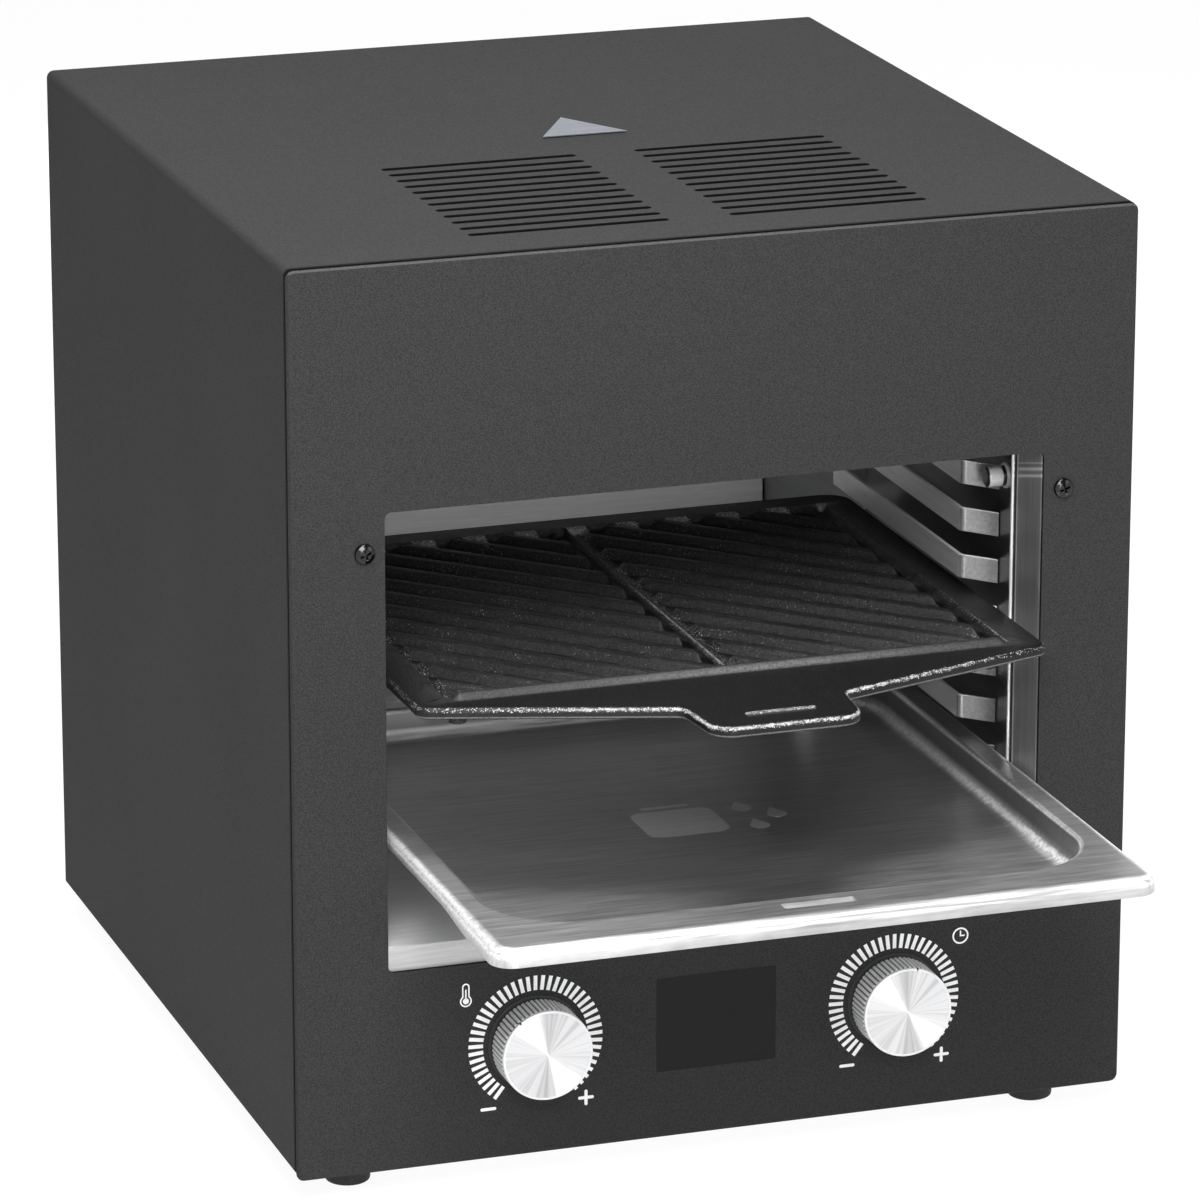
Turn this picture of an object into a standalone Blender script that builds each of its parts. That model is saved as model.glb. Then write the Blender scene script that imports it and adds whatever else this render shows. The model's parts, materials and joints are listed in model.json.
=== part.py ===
"""Infrared electric broiler: a sheet-steel casing round an open-fronted cavity with seven pairs of rails,
a cast grill plate and a pressed drip tray on them, heating tubes overhead, two knobs and a display.

Metres, +Z up. The pieces hang on one empty at the middle of the front panel's face, level with the
casing's lower edge: from there x runs across, y into the depth and z up.
"""

import math

import bmesh
import bpy
from mathutils import Matrix, Vector

# Clearances and joins
SEAT_GAP = 0.0003
HOLE_CLEARANCE = 0.0003
OVERRUN = 0.002
JOIN_DEPTH = 0.0004
SAME_POINT = 0.000001
BEND_STEPS = 4
ROUND_SIDES = 20
SMALL_SIDES = 12
SMOOTH_ANGLE = math.radians(35)

# Casing: one sheet folded over both sides and the top
CASE_WIDTH = 0.345
CASE_HEIGHT = 0.3619
CASE_DEPTH = 0.360
CASE_SHEET = 0.001
CASE_BEND = 0.003
CASE_SEAM = 0.001

# Vent slots in the top, in two groups
SLOT_LENGTH = 0.081
SLOT_WIDTH = 0.0037
SLOT_PITCH = 0.01027
SLOT_ROWS = 12
SLOT_FIRST_ROW = 0.032
SLOT_GROUP_GAP = 0.025
SLOT_SHIFT = 0.0025

# Blank triangular plate on the top
BADGE_SIDE = 0.036
BADGE_SETBACK = 0.03153
BADGE_SHIFT = 0.0045
BADGE_THICKNESS = 0.0005

# Front panel
PANEL_THICKNESS = 0.0016
PANEL_EDGE = 0.0008
PANEL_CORNER = 0.003
PANEL_DROP = 0.0031
PANEL_TOP_STEP = 0.0003
PANEL_RETURN = 0.010
OPENING_BROW = 0.0015
OPENING_CORNER = 0.0025
OPENING_ABOVE_WINDOW = 0.0154

# Front screws
SCREW_OFFSET = 0.0082
SCREW_BELOW_OPENING_TOP = 0.0153
SCREW_HEAD_RADIUS = 0.004
SCREW_HEAD_HEIGHT = 0.0022
SCREW_HEAD_CROWN = 0.0016
SCREW_CROWN_STEPS = 3
SCREW_SHANK_RADIUS = 0.0019
SCREW_LENGTH = 0.009
SCREW_CROSS_LENGTH = 0.0042
SCREW_CROSS_WIDTH = 0.0009
SCREW_CROSS_DEPTH = 0.0011

# Base plate and feet
BASE_SHEET = 0.001
BASE_FLANGE = 0.012
BASE_FRONT_GAP = 0.0014
BASE_BOSS_RADIUS = 0.003
BASE_BOSS_HEIGHT = 0.0067
FOOT_RADIUS = 0.0098
FOOT_SOLE_RADIUS = 0.0089
FOOT_HEIGHT = 0.0145
FOOT_ROUNDING = 0.001
FOOT_INSET_X = 0.0278
FOOT_INSET_Y = 0.0255

# Rear panel
REAR_SHEET = 0.001
REAR_RECESS = 0.0046
REAR_VENT_COUNT = 6
REAR_VENT_LENGTH = 0.050
REAR_VENT_WIDTH = 0.003
REAR_VENT_PITCH = 0.007
REAR_VENT_FROM_SIDE = 0.0725
REAR_VENT_LOW = 0.026

# Cavity
CAVITY_SHEET = 0.0008
CAVITY_SIDE_SPACE = 0.0335
CAVITY_REAR_SPACE = 0.0333
CAVITY_HEADROOM = 0.0959
CAVITY_FLANGE = 0.008
FLOOR_STEP = 0.0098
FLOOR_SKIRT = 0.0163
BACK_RETURN = 0.012

# Jambs: the uprights that line the opening's sides
JAMB_STEP = 0.0042
JAMB_DEPTH = 0.030
JAMB_FRONT_FLANGE = 0.0153
JAMB_BACK_FLANGE = 0.009
JAMB_BEND = 0.0013

# Rack rails
RAIL_PITCH = 0.0196
RAIL_ABOVE_FLOOR = 0.04036
RAIL_LEAST_HEADROOM = 0.012
RAIL_HEIGHT = 0.0098
RAIL_SHEET = 0.0015
RAIL_BEHIND_BOLT = 0.0097
RAIL_LENGTH = 0.1463
RAIL_LEG_SPREAD = 0.0018
RAIL_BEND = 0.0025

# Rack bolts
BOLT_RADIUS = 0.00415
BOLT_LENGTH = 0.0082
BOLT_COLLAR_RADIUS = 0.0052
BOLT_COLLAR_HEIGHT = 0.0015
BOLT_SHANK_RADIUS = 0.002
BOLT_SHANK_LENGTH = 0.006
BOLT_EDGE = 0.0006
BOLT_SETBACK = 0.0148
BOLT_BELOW_CEILING = 0.024

# Ceiling frame, reflector hood, heating tubes
CEILING_OVERHANG = 0.011
CEILING_END = 0.0157
HEAT_SIDE_MARGIN = 0.027
HEAT_FRONT_MARGIN = 0.058
HEAT_REAR_MARGIN = 0.0293
HEAT_CORNER = 0.005
HOOD_HEIGHT = 0.050
HOOD_LEAN = 0.008
HOOD_FLANGE = 0.010
HOOD_CORNER = 0.008
TUBE_COUNT = 4
TUBE_RADIUS = 0.005
TUBE_END_MARGIN = 0.036
TUBE_SIDE_MARGIN = 0.004
TUBE_LEVEL = 0.0275
HOLDER_THICKNESS = 0.003
HOLDER_INSET = 0.005
HOLDER_MARGIN = 0.014
HOLDER_DROP = 0.010
INSULATION_THICKNESS = 0.020
INSULATION_INSET = 0.004
CUTOUT_RADIUS = 0.007
CUTOUT_HEIGHT = 0.009
CUTOUT_INSET = 0.0065
CUTOUT_DEPTH = 0.180

# Temperature probe
PROBE_RADIUS = 0.0022
PROBE_REACH = 0.029
PROBE_TAIL = 0.014
PROBE_COLLAR_RADIUS = 0.005
PROBE_COLLAR_HEIGHT = 0.004
PROBE_FROM_WALL = 0.029
PROBE_BELOW_CEILING = 0.009

# Knobs, encoders and shafts
KNOB_SPACING = 0.150
KNOB_LEVEL = 0.0435
KNOB_RADIUS = 0.0185
KNOB_HEIGHT = 0.016
KNOB_STANDOFF = 0.0008
KNOB_FLUTES = 60
KNOB_FLUTE_DEPTH = 0.0006
KNOB_RIM = 0.0016
KNOB_CHAMFER = 0.0004
KNOB_BORE_DEPTH = 0.011
SHAFT_RADIUS = 0.003
SHAFT_END_GAP = 0.0005
ENCODER_SIDE = 0.014
ENCODER_DEPTH = 0.0073

# Display and control board
WINDOW_WIDTH = 0.0494
WINDOW_HEIGHT = 0.0386
WINDOW_LIFT = 0.0007
WINDOW_RECESS = 0.0006
WINDOW_THICKNESS = 0.0016
BOARD_THICKNESS = 0.0016
BOARD_MARGIN_X = 0.020
BOARD_MARGIN_Z = 0.0045
BOARD_POST_RADIUS = 0.003
BOARD_POST_INSET = 0.005
CHIP_WIDTH = 0.016
CHIP_HEIGHT = 0.016
CHIP_THICKNESS = 0.003

# Power board, terminal block and inlet
POWER_BOARD_WIDTH = 0.120
POWER_BOARD_DEPTH = 0.100
POWER_BOARD_FRONT = 0.150
POWER_BOARD_POST_INSET = 0.006
COIL_SIDE = 0.030
COIL_HEIGHT = 0.024
RELAY_WIDTH = 0.020
RELAY_DEPTH = 0.016
RELAY_HEIGHT = 0.018
TERMINAL_WIDTH = 0.040
TERMINAL_DEPTH = 0.018
TERMINAL_HEIGHT = 0.014
TERMINAL_CHAMFER = 0.003
TERMINAL_REAR_GAP = 0.045
INLET_FROM_SIDE = 0.0625
INLET_LEVEL = 0.040
INLET_WIDTH = 0.0275
INLET_HEIGHT = 0.020
INLET_BODY_DEPTH = 0.022
INLET_FLANGE_WIDTH = 0.050
INLET_FLANGE_HEIGHT = 0.024
INLET_FLANGE_THICKNESS = 0.0024
INLET_RECESS_WIDTH = 0.024
INLET_RECESS_HEIGHT = 0.016
INLET_RECESS_DEPTH = 0.017
INLET_RECESS_CHAMFER = 0.004
INLET_PIN_WIDTH = 0.002
INLET_PIN_HEIGHT = 0.004
INLET_PIN_LENGTH = 0.012
INLET_PIN_SPACING = 0.007
INLET_LIVE_PIN_LIFT = -0.0005
INLET_EARTH_PIN_LIFT = 0.0035

# Grill plate, cast
PLATE_HOLD = 0.006
PLATE_PAST_RAILS = 0.0016
PLATE_FLANGE = 0.0048
PLATE_REAR_CORNER = 0.012
PLATE_FRONT_SIDE = -0.0224
PLATE_FRONT_CORNER = 0.006
PLATE_NECK_X = 0.033
PLATE_NECK_Y = -0.053
PLATE_NECK_RADIUS = 0.005
PLATE_LUG_X = 0.030
PLATE_LUG_LENGTH = 0.029
PLATE_LUG_CORNER = 0.010
PLATE_EDGE = 0.0012
PLATE_BODY_DEPTH = 0.0037
PLATE_BODY_INSET = 0.014
PLATE_BODY_CORNER = 0.010
PLATE_WELL_INSET = 0.0145
PLATE_WELL_DEPTH = 0.0034
PLATE_WELL_BEHIND_CREST = 0.003
PLATE_WELL_REAR_INSET = 0.0146
PLATE_WELL_CORNER = 0.006
PLATE_CREST_Y = -0.015
PLATE_CREST_WIDTH = 0.007
PLATE_CREST_HEIGHT = 0.0015
PLATE_RIDGE_PITCH = 0.0221
PLATE_RIDGE_PHASE = 0.019
PLATE_RIDGE_WIDTH = 0.0125
PLATE_RIDGE_HEIGHT = 0.0036
PLATE_RIDGE_CHANNEL = 0.0025
PLATE_MID_CHANNEL = 0.004
PLATE_MID_X = 0.001
PLATE_BAR_LENGTH = 0.029
PLATE_BAR_WIDTH = 0.003
PLATE_BAR_HEIGHT = 0.0011
PLATE_BAR_SETBACK = 0.012
PLATE_BOSS_RADIUS = 0.0035
PLATE_BOSS_HEIGHT = 0.003
PLATE_BOSS_INSET = 0.006

# Drip tray, pressed
TRAY_SHEET = 0.001
TRAY_REACH = 0.130
TRAY_REAR = 0.173
TRAY_RAIL_CLEARANCE = 0.0035
TRAY_SHOULDER = 0.008
TRAY_FOOT_BEND = 0.006
TRAY_EDGE_BEND = 0.005
TRAY_SIDE_FLAT = 0.0003
TRAY_FRONT_FLAT = 0.015
TRAY_REAR_FLANGE = 0.006
TRAY_WELL_CORNER = 0.030
TRAY_RIM_CORNER = 0.004
TRAY_LIP_TAIL = 0.002
TRAY_LIP_END = 0.0003
TRAY_SIDE_LIP = 0.0037
TRAY_SIDE_CLEARANCE = 0.002
TRAY_DEEP_LIP = 0.030
TRAY_LIP_TAPER_END = 0.066
TRAY_CORNER_STEPS = 6
TRAY_SLOT_LENGTH = 0.029
TRAY_SLOT_WIDTH = 0.0055
TRAY_SLOT_CORNER = 0.001
TRAY_SLOT_SHIFT = -0.0008
TRAY_SLOT_FROM_FRONT = 0.0144

# Casing, base and rear, worked out from the sizes above
CASE_FRONT = PANEL_THICKNESS + CASE_SEAM
CASE_REAR = CASE_FRONT + CASE_DEPTH
CASE_INSIDE = CASE_WIDTH / 2 - CASE_SHEET
PANEL_REAR = PANEL_THICKNESS + SEAT_GAP
BASE_TOP = SEAT_GAP + BASE_SHEET
REAR_OUTER = CASE_REAR - REAR_RECESS
REAR_INNER = REAR_OUTER - REAR_SHEET
INLET_X = CASE_WIDTH / 2 - INLET_FROM_SIDE
BADGE_FRONT = SLOT_FIRST_ROW + SLOT_PITCH * (SLOT_ROWS - 1) + BADGE_SETBACK

# Controls and the opening over them
WINDOW_LOW = KNOB_LEVEL + WINDOW_LIFT - WINDOW_HEIGHT / 2
WINDOW_HIGH = WINDOW_LOW + WINDOW_HEIGHT
BOARD_FRONT = PANEL_REAR + ENCODER_DEPTH + SEAT_GAP
BOARD_LOW = WINDOW_LOW - BOARD_MARGIN_Z
BOARD_HIGH = WINDOW_HIGH + BOARD_MARGIN_Z
BOARD_HALF_WIDTH = KNOB_SPACING / 2 + BOARD_MARGIN_X
OPENING_LOW = WINDOW_HIGH + OPENING_ABOVE_WINDOW

# Cavity
WALL_X = CASE_WIDTH / 2 - CAVITY_SIDE_SPACE
JAMB_X = WALL_X - JAMB_STEP
JAMB_REAR = PANEL_REAR + JAMB_DEPTH
WALL_FRONT = JAMB_REAR + SEAT_GAP
CAVITY_FLOOR = OPENING_LOW + FLOOR_STEP
CAVITY_CEILING = CASE_HEIGHT - CAVITY_HEADROOM
CAVITY_BACK = CASE_REAR - CAVITY_REAR_SPACE
CAVITY_END = CAVITY_BACK + BACK_RETURN
FLOOR_LOW = CAVITY_FLOOR - FLOOR_SKIRT
OPENING_HIGH = CAVITY_CEILING - OPENING_BROW
SCREW_LEVEL = OPENING_HIGH - SCREW_BELOW_OPENING_TOP
CEILING_BOTTOM = CAVITY_CEILING + SEAT_GAP
CEILING_TOP = CEILING_BOTTOM + CAVITY_SHEET
HOOD_BOTTOM = CEILING_TOP + SEAT_GAP
HOOD_TOP = HOOD_BOTTOM + HOOD_HEIGHT
BOLT_DEPTH = WALL_FRONT + BOLT_SETBACK
BOLT_LEVEL = CAVITY_CEILING - BOLT_BELOW_CEILING

# The tray fits between the jambs, the rails fit the tray, and the plate fits the rails
TRAY_RIM_X = JAMB_X - TRAY_SIDE_CLEARANCE - TRAY_EDGE_BEND
TRAY_WALL_X = TRAY_RIM_X - TRAY_SIDE_FLAT - TRAY_SHOULDER
RAIL_X = TRAY_WALL_X + TRAY_RAIL_CLEARANCE
RAIL_FRONT = BOLT_DEPTH + RAIL_BEHIND_BOLT
RAIL_FIRST_TOP = CAVITY_FLOOR + RAIL_ABOVE_FLOOR
RAIL_ROOM = CAVITY_CEILING - RAIL_LEAST_HEADROOM - RAIL_FIRST_TOP
RAIL_COUNT = 1 + math.floor(RAIL_ROOM / RAIL_PITCH)
TRAY_UNDER_SHOULDER = TRAY_SHOULDER - TRAY_SHEET
TRAY_RISE_AT_RAIL = math.sqrt(
    TRAY_UNDER_SHOULDER**2 - (TRAY_SHOULDER - TRAY_RAIL_CLEARANCE) ** 2
)
TRAY_RIM = RAIL_FIRST_TOP + SEAT_GAP + TRAY_SHOULDER - TRAY_RISE_AT_RAIL
TRAY_LIP_SHEET_DROP = TRAY_SHEET * (1 - TRAY_SIDE_LIP / TRAY_EDGE_BEND)
TRAY_LIP_LOW = TRAY_RIM - TRAY_SIDE_LIP - TRAY_LIP_END - TRAY_LIP_SHEET_DROP
PLATE_RAIL = RAIL_COUNT // 2
PLATE_HALF_WIDTH = RAIL_X + PLATE_HOLD
PLATE_REAR = RAIL_FRONT + RAIL_LENGTH + PLATE_PAST_RAILS
PLATE_LUG_FRONT = PLATE_NECK_Y - PLATE_LUG_LENGTH
PLATE_UNDER = RAIL_FIRST_TOP + RAIL_PITCH * PLATE_RAIL + SEAT_GAP
PLATE_TOP = PLATE_UNDER + PLATE_FLANGE

# Finishes: colour, roughness, metallic
BLACK_COAT = ((0.045, 0.045, 0.048, 1.0), 0.55, 0.0)
BARE_STEEL = ((0.42, 0.42, 0.43, 1.0), 0.35, 1.0)
POLISHED_STEEL = ((0.62, 0.62, 0.63, 1.0), 0.18, 1.0)
DARK_STEEL = ((0.16, 0.16, 0.17, 1.0), 0.45, 1.0)
SPUN_ALUMINIUM = ((0.80, 0.80, 0.81, 1.0), 0.22, 1.0)
CAST_BLACK = ((0.022, 0.022, 0.024, 1.0), 0.50, 0.0)
BLACK_RUBBER = ((0.015, 0.015, 0.015, 1.0), 0.85, 0.0)
BLACK_GLASS = ((0.012, 0.012, 0.013, 1.0), 0.25, 0.0)
BLACK_PLASTIC = ((0.030, 0.030, 0.032, 1.0), 0.60, 0.0)
PALE_PLASTIC = ((0.60, 0.60, 0.56, 1.0), 0.60, 0.0)
BOARD_GREEN = ((0.030, 0.110, 0.050, 1.0), 0.50, 0.0)
QUARTZ = ((0.75, 0.70, 0.66, 1.0), 0.15, 0.0)
MINERAL_WOOL = ((0.55, 0.52, 0.45, 1.0), 0.95, 0.0)


def clear_scene():
    for old in list(bpy.data.objects):
        bpy.data.objects.remove(old)


def add_material(obj, finish):
    colour, roughness, metallic = finish
    material = bpy.data.materials.new(obj.name)
    material.use_nodes = True
    shader = material.node_tree.nodes["Principled BSDF"]
    shader.inputs["Base Color"].default_value = colour
    shader.inputs["Roughness"].default_value = roughness
    shader.inputs["Metallic"].default_value = metallic
    obj.data.materials.append(material)


def add_mesh(name, bodies, parent, origin):
    """An object whose bodies are each closed through a list of like-numbered rings of points."""
    builder = bmesh.new()
    for rings in bodies:
        rows = [[builder.verts.new(point - origin) for point in ring] for ring in rings]
        for row, following in zip(rows, rows[1:]):
            for i in range(len(row)):
                builder.faces.new((row[i - 1], row[i], following[i], following[i - 1]))
        builder.faces.new(rows[0])
        builder.faces.new(rows[-1])
    bmesh.ops.recalc_face_normals(builder, faces=builder.faces[:])
    mesh = bpy.data.meshes.new(name)
    builder.to_mesh(mesh)
    builder.free()
    obj = bpy.data.objects.new(name, mesh)
    bpy.context.scene.collection.objects.link(obj)
    obj.parent = parent
    obj.location = origin
    return obj


def add_piece(name, rings, finish, parent, origin=Vector((0, 0, 0)), smooth=False):
    """One solid piece of the object, in its own finish."""
    piece = add_mesh(name, [rings], parent, origin)
    add_material(piece, finish)
    if smooth:
        piece.data.shade_smooth()
        piece.data.set_sharp_from_angle(angle=SMOOTH_ANGLE)
    return piece


def combine(piece, bodies, operation):
    """Cuts the bodies from the piece, or joins them to it."""
    tool = add_mesh(f"{piece.name}_{operation.lower()}", bodies, piece.parent, piece.location)
    tool.hide_render = True
    tool.display_type = "WIRE"
    modifier = piece.modifiers.new(operation.title(), "BOOLEAN")
    modifier.operation = operation
    modifier.object = tool
    return piece


def add_bevel(piece, width, segments=1):
    modifier = piece.modifiers.new("Bevel", "BEVEL")
    modifier.width = width
    modifier.segments = segments
    modifier.limit_method = "ANGLE"
    return piece


def turned_by(vector, angle):
    return Matrix.Rotation(angle, 2) @ vector


def rounded_path(corners, closed=False, steps=BEND_STEPS):
    """The points of a path through (u, v, radius) corners, each corner rounded by its radius."""
    points = []
    last = len(corners) - 1
    for i, (u, v, radius) in enumerate(corners):
        here = Vector((u, v))
        if not radius or (not closed and i in (0, last)):
            points.append(here)
            continue
        to_before = (Vector(corners[i - 1][:2]) - here).normalized()
        to_after = (Vector(corners[(i + 1) % (last + 1)][:2]) - here).normalized()
        half = to_before.angle(to_after) / 2
        centre = here + (to_before + to_after).normalized() * (radius / math.sin(half))
        start = here + to_before * (radius / math.tan(half)) - centre
        end = here + to_after * (radius / math.tan(half)) - centre
        turn = math.atan2(start.cross(end), start.dot(end))
        points += [centre + turned_by(start, turn * step / steps) for step in range(steps + 1)]
    # Arcs that meet share a point, which is kept once.
    return [p for i, p in enumerate(points) if (p - points[i - 1]).length > SAME_POINT]


def sheet_outline(path, thickness):
    """The outline of a folded sheet: along the path, and back at the thickness to its left."""
    sides = [(b - a).normalized().orthogonal() for a, b in zip(path, path[1:])]
    back = []
    for i, point in enumerate(path):
        before = sides[max(i - 1, 0)]
        after = sides[min(i, len(sides) - 1)]
        across = (before + after).normalized()
        back.append(point + across * (thickness / across.dot(after)))
    return path + back[::-1]


def rounded_rectangle(low_u, high_u, low_v, high_v, radius=0, steps=BEND_STEPS):
    corners = [(low_u, low_v), (high_u, low_v), (high_u, high_v), (low_u, high_v)]
    return rounded_path([(u, v, radius) for u, v in corners], closed=True, steps=steps)


def centred_rectangle(centre_u, centre_v, width, height, radius=0, steps=BEND_STEPS):
    left = centre_u - width / 2
    low = centre_v - height / 2
    return rounded_rectangle(left, left + width, low, low + height, radius, steps)


def circle(centre_u, centre_v, radius, sides):
    turns = [2 * math.pi * i / sides for i in range(sides)]
    centre = Vector((centre_u, centre_v))
    return [centre + Vector((math.cos(turn), math.sin(turn))) * radius for turn in turns]


def laid(outline, axis, level):
    """The outline's points in the plane square to the axis at the level."""
    if axis == "X":
        return [Vector((level, u, v)) for u, v in outline]
    if axis == "Y":
        return [Vector((u, level, v)) for u, v in outline]
    return [Vector((u, v, level)) for u, v in outline]


def prism(outline, axis, low, high):
    return [laid(outline, axis, low), laid(outline, axis, high)]


def block(low, high):
    return prism(rounded_rectangle(low[0], high[0], low[1], high[1]), "Z", low[2], high[2])


def turned(profile, axis, centre_u, centre_v, sides=ROUND_SIDES):
    """A body turned about an axis: its profile is (radius, level) pairs."""
    return [laid(circle(centre_u, centre_v, radius, sides), axis, level) for radius, level in profile]


def sided(side, points):
    """Outline points mirrored in u for the left-hand side."""
    return [Vector((side * point[0], point[1])) for point in points]


def make_wrap(body):
    outer = [
        (-CASE_WIDTH / 2, 0, 0),
        (-CASE_WIDTH / 2, CASE_HEIGHT, CASE_BEND),
        (CASE_WIDTH / 2, CASE_HEIGHT, CASE_BEND),
        (CASE_WIDTH / 2, 0, 0),
    ]
    outline = sheet_outline(rounded_path(outer), -CASE_SHEET)
    wrap = add_piece("wrap_casing", prism(outline, "Y", CASE_FRONT, CASE_REAR), BLACK_COAT, body)
    slots = []
    for side in (-1, 1):
        centre = SLOT_SHIFT + side * (SLOT_LENGTH + SLOT_GROUP_GAP) / 2
        for row in range(SLOT_ROWS):
            y = SLOT_FIRST_ROW + row * SLOT_PITCH
            slot = centred_rectangle(centre, y, SLOT_LENGTH, SLOT_WIDTH, SLOT_WIDTH / 2, steps=2)
            low = CASE_HEIGHT - CASE_SHEET - OVERRUN
            slots.append(prism(slot, "Z", low, CASE_HEIGHT + OVERRUN))
    combine(wrap, slots, "DIFFERENCE")


def make_top_badge(body):
    back = BADGE_FRONT + BADGE_SIDE * math.sqrt(3) / 2
    outline = [
        (BADGE_SHIFT - BADGE_SIDE / 2, BADGE_FRONT),
        (BADGE_SHIFT + BADGE_SIDE / 2, BADGE_FRONT),
        (BADGE_SHIFT, back),
    ]
    low = CASE_HEIGHT + SEAT_GAP
    add_piece("top_badge", prism(outline, "Z", low, low + BADGE_THICKNESS), BARE_STEEL, body)


def screw_places():
    return [(side, side * (JAMB_X + SCREW_OFFSET)) for side in (-1, 1)]


def make_front_panel(body):
    def outline(inset):
        half = CASE_WIDTH / 2 - inset
        low = inset - PANEL_DROP
        high = CASE_HEIGHT - PANEL_TOP_STEP - inset
        return rounded_rectangle(-half, half, low, high, PANEL_CORNER - inset)

    rings = [
        laid(outline(PANEL_EDGE), "Y", 0),
        laid(outline(0), "Y", PANEL_EDGE),
        laid(outline(0), "Y", PANEL_THICKNESS),
    ]
    panel = add_piece("front_panel", rings, BLACK_COAT, body)

    # The edge is folded back inside the wrap, and four posts carry the control board.
    half = CASE_INSIDE - SEAT_GAP
    low = BASE_TOP + BASE_FLANGE
    high = CASE_HEIGHT - CASE_SHEET - SEAT_GAP
    bend = CASE_BEND - CASE_SHEET
    fold = [(-half, low, 0), (-half, high, bend), (half, high, bend), (half, low, 0)]
    fold = sheet_outline(rounded_path(fold), -CASE_SHEET)
    start = PANEL_THICKNESS - JOIN_DEPTH
    joined = [prism(fold, "Y", start, PANEL_THICKNESS + PANEL_RETURN)]
    for x, z in board_post_places():
        post = circle(x, z, BOARD_POST_RADIUS, SMALL_SIDES)
        joined.append(prism(post, "Y", start, BOARD_FRONT - SEAT_GAP))
    combine(panel, joined, "UNION")

    opening = rounded_rectangle(-JAMB_X, JAMB_X, OPENING_LOW, OPENING_HIGH, OPENING_CORNER)
    window = rounded_rectangle(-WINDOW_WIDTH / 2, WINDOW_WIDTH / 2, WINDOW_LOW, WINDOW_HIGH)
    holes = [opening, window]
    for side in (-1, 1):
        knob_x = side * KNOB_SPACING / 2
        holes.append(circle(knob_x, KNOB_LEVEL, SHAFT_RADIUS + HOLE_CLEARANCE, ROUND_SIDES))
    for side, x in screw_places():
        holes.append(circle(x, SCREW_LEVEL, SCREW_SHANK_RADIUS + HOLE_CLEARANCE, SMALL_SIDES))
    cuts = [prism(hole, "Y", -OVERRUN, PANEL_THICKNESS + OVERRUN) for hole in holes]
    combine(panel, cuts, "DIFFERENCE")


def make_front_screws(body):
    for side, x in screw_places():
        name = "front_screw_right" if side > 0 else "front_screw_left"
        seat = -SEAT_GAP
        profile = []
        for step in range(SCREW_CROWN_STEPS + 1):
            turn = math.pi / 2 * step / SCREW_CROWN_STEPS
            radius = SCREW_HEAD_RADIUS - SCREW_HEAD_CROWN * (1 - math.sin(turn))
            profile.append((radius, seat - SCREW_HEAD_HEIGHT + SCREW_HEAD_CROWN * (1 - math.cos(turn))))
        profile += [
            (SCREW_HEAD_RADIUS, seat),
            (SCREW_SHANK_RADIUS, seat),
            (SCREW_SHANK_RADIUS, seat + SCREW_LENGTH),
        ]
        place = Vector((x, 0, SCREW_LEVEL))
        rings = turned(profile, "Y", x, SCREW_LEVEL, SMALL_SIDES)
        screw = add_piece(name, rings, DARK_STEEL, body, place, smooth=True)
        long = SCREW_CROSS_LENGTH / 2
        wide = SCREW_CROSS_WIDTH / 2
        arms = [(wide, wide), (wide, long), (-wide, long), (-wide, wide), (-long, wide), (-long, -wide)]
        arms += [(-u, -v) for u, v in arms]
        cross = [Vector((x + u, SCREW_LEVEL + v)) for u, v in arms]
        bottom = seat - SCREW_HEAD_HEIGHT + SCREW_CROSS_DEPTH
        combine(screw, [prism(cross, "Y", seat - SCREW_HEAD_HEIGHT - OVERRUN, bottom)], "DIFFERENCE")


def make_base_plate(body):
    half = CASE_INSIDE - SEAT_GAP
    low = SEAT_GAP
    path = [
        (-half, low + BASE_FLANGE, 0),
        (-half, low, CASE_BEND - CASE_SHEET),
        (half, low, CASE_BEND - CASE_SHEET),
        (half, low + BASE_FLANGE, 0),
    ]
    outline = sheet_outline(rounded_path(path), BASE_SHEET)
    rings = prism(outline, "Y", PANEL_THICKNESS + BASE_FRONT_GAP, REAR_INNER - SEAT_GAP)
    base = add_piece("base_plate", rings, BARE_STEEL, body)
    posts = []
    for x, y in power_post_places():
        post = circle(x, y, BASE_BOSS_RADIUS, SMALL_SIDES)
        posts.append(prism(post, "Z", BASE_TOP - JOIN_DEPTH, BASE_TOP + BASE_BOSS_HEIGHT))
    combine(base, posts, "UNION")


def make_feet(body):
    x = CASE_WIDTH / 2 - FOOT_INSET_X
    for name, u, v in (
        ("foot_front_left", -x, FOOT_INSET_Y),
        ("foot_front_right", x, FOOT_INSET_Y),
        ("foot_rear_left", -x, CASE_REAR - FOOT_INSET_Y),
        ("foot_rear_right", x, CASE_REAR - FOOT_INSET_Y),
    ):
        profile = [
            (FOOT_SOLE_RADIUS - FOOT_ROUNDING, -FOOT_HEIGHT),
            (FOOT_SOLE_RADIUS, FOOT_ROUNDING - FOOT_HEIGHT),
            (FOOT_RADIUS, -FOOT_ROUNDING),
            (FOOT_RADIUS, 0),
        ]
        add_piece(name, turned(profile, "Z", u, v), BLACK_RUBBER, body, Vector((u, v, 0)), smooth=True)


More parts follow.
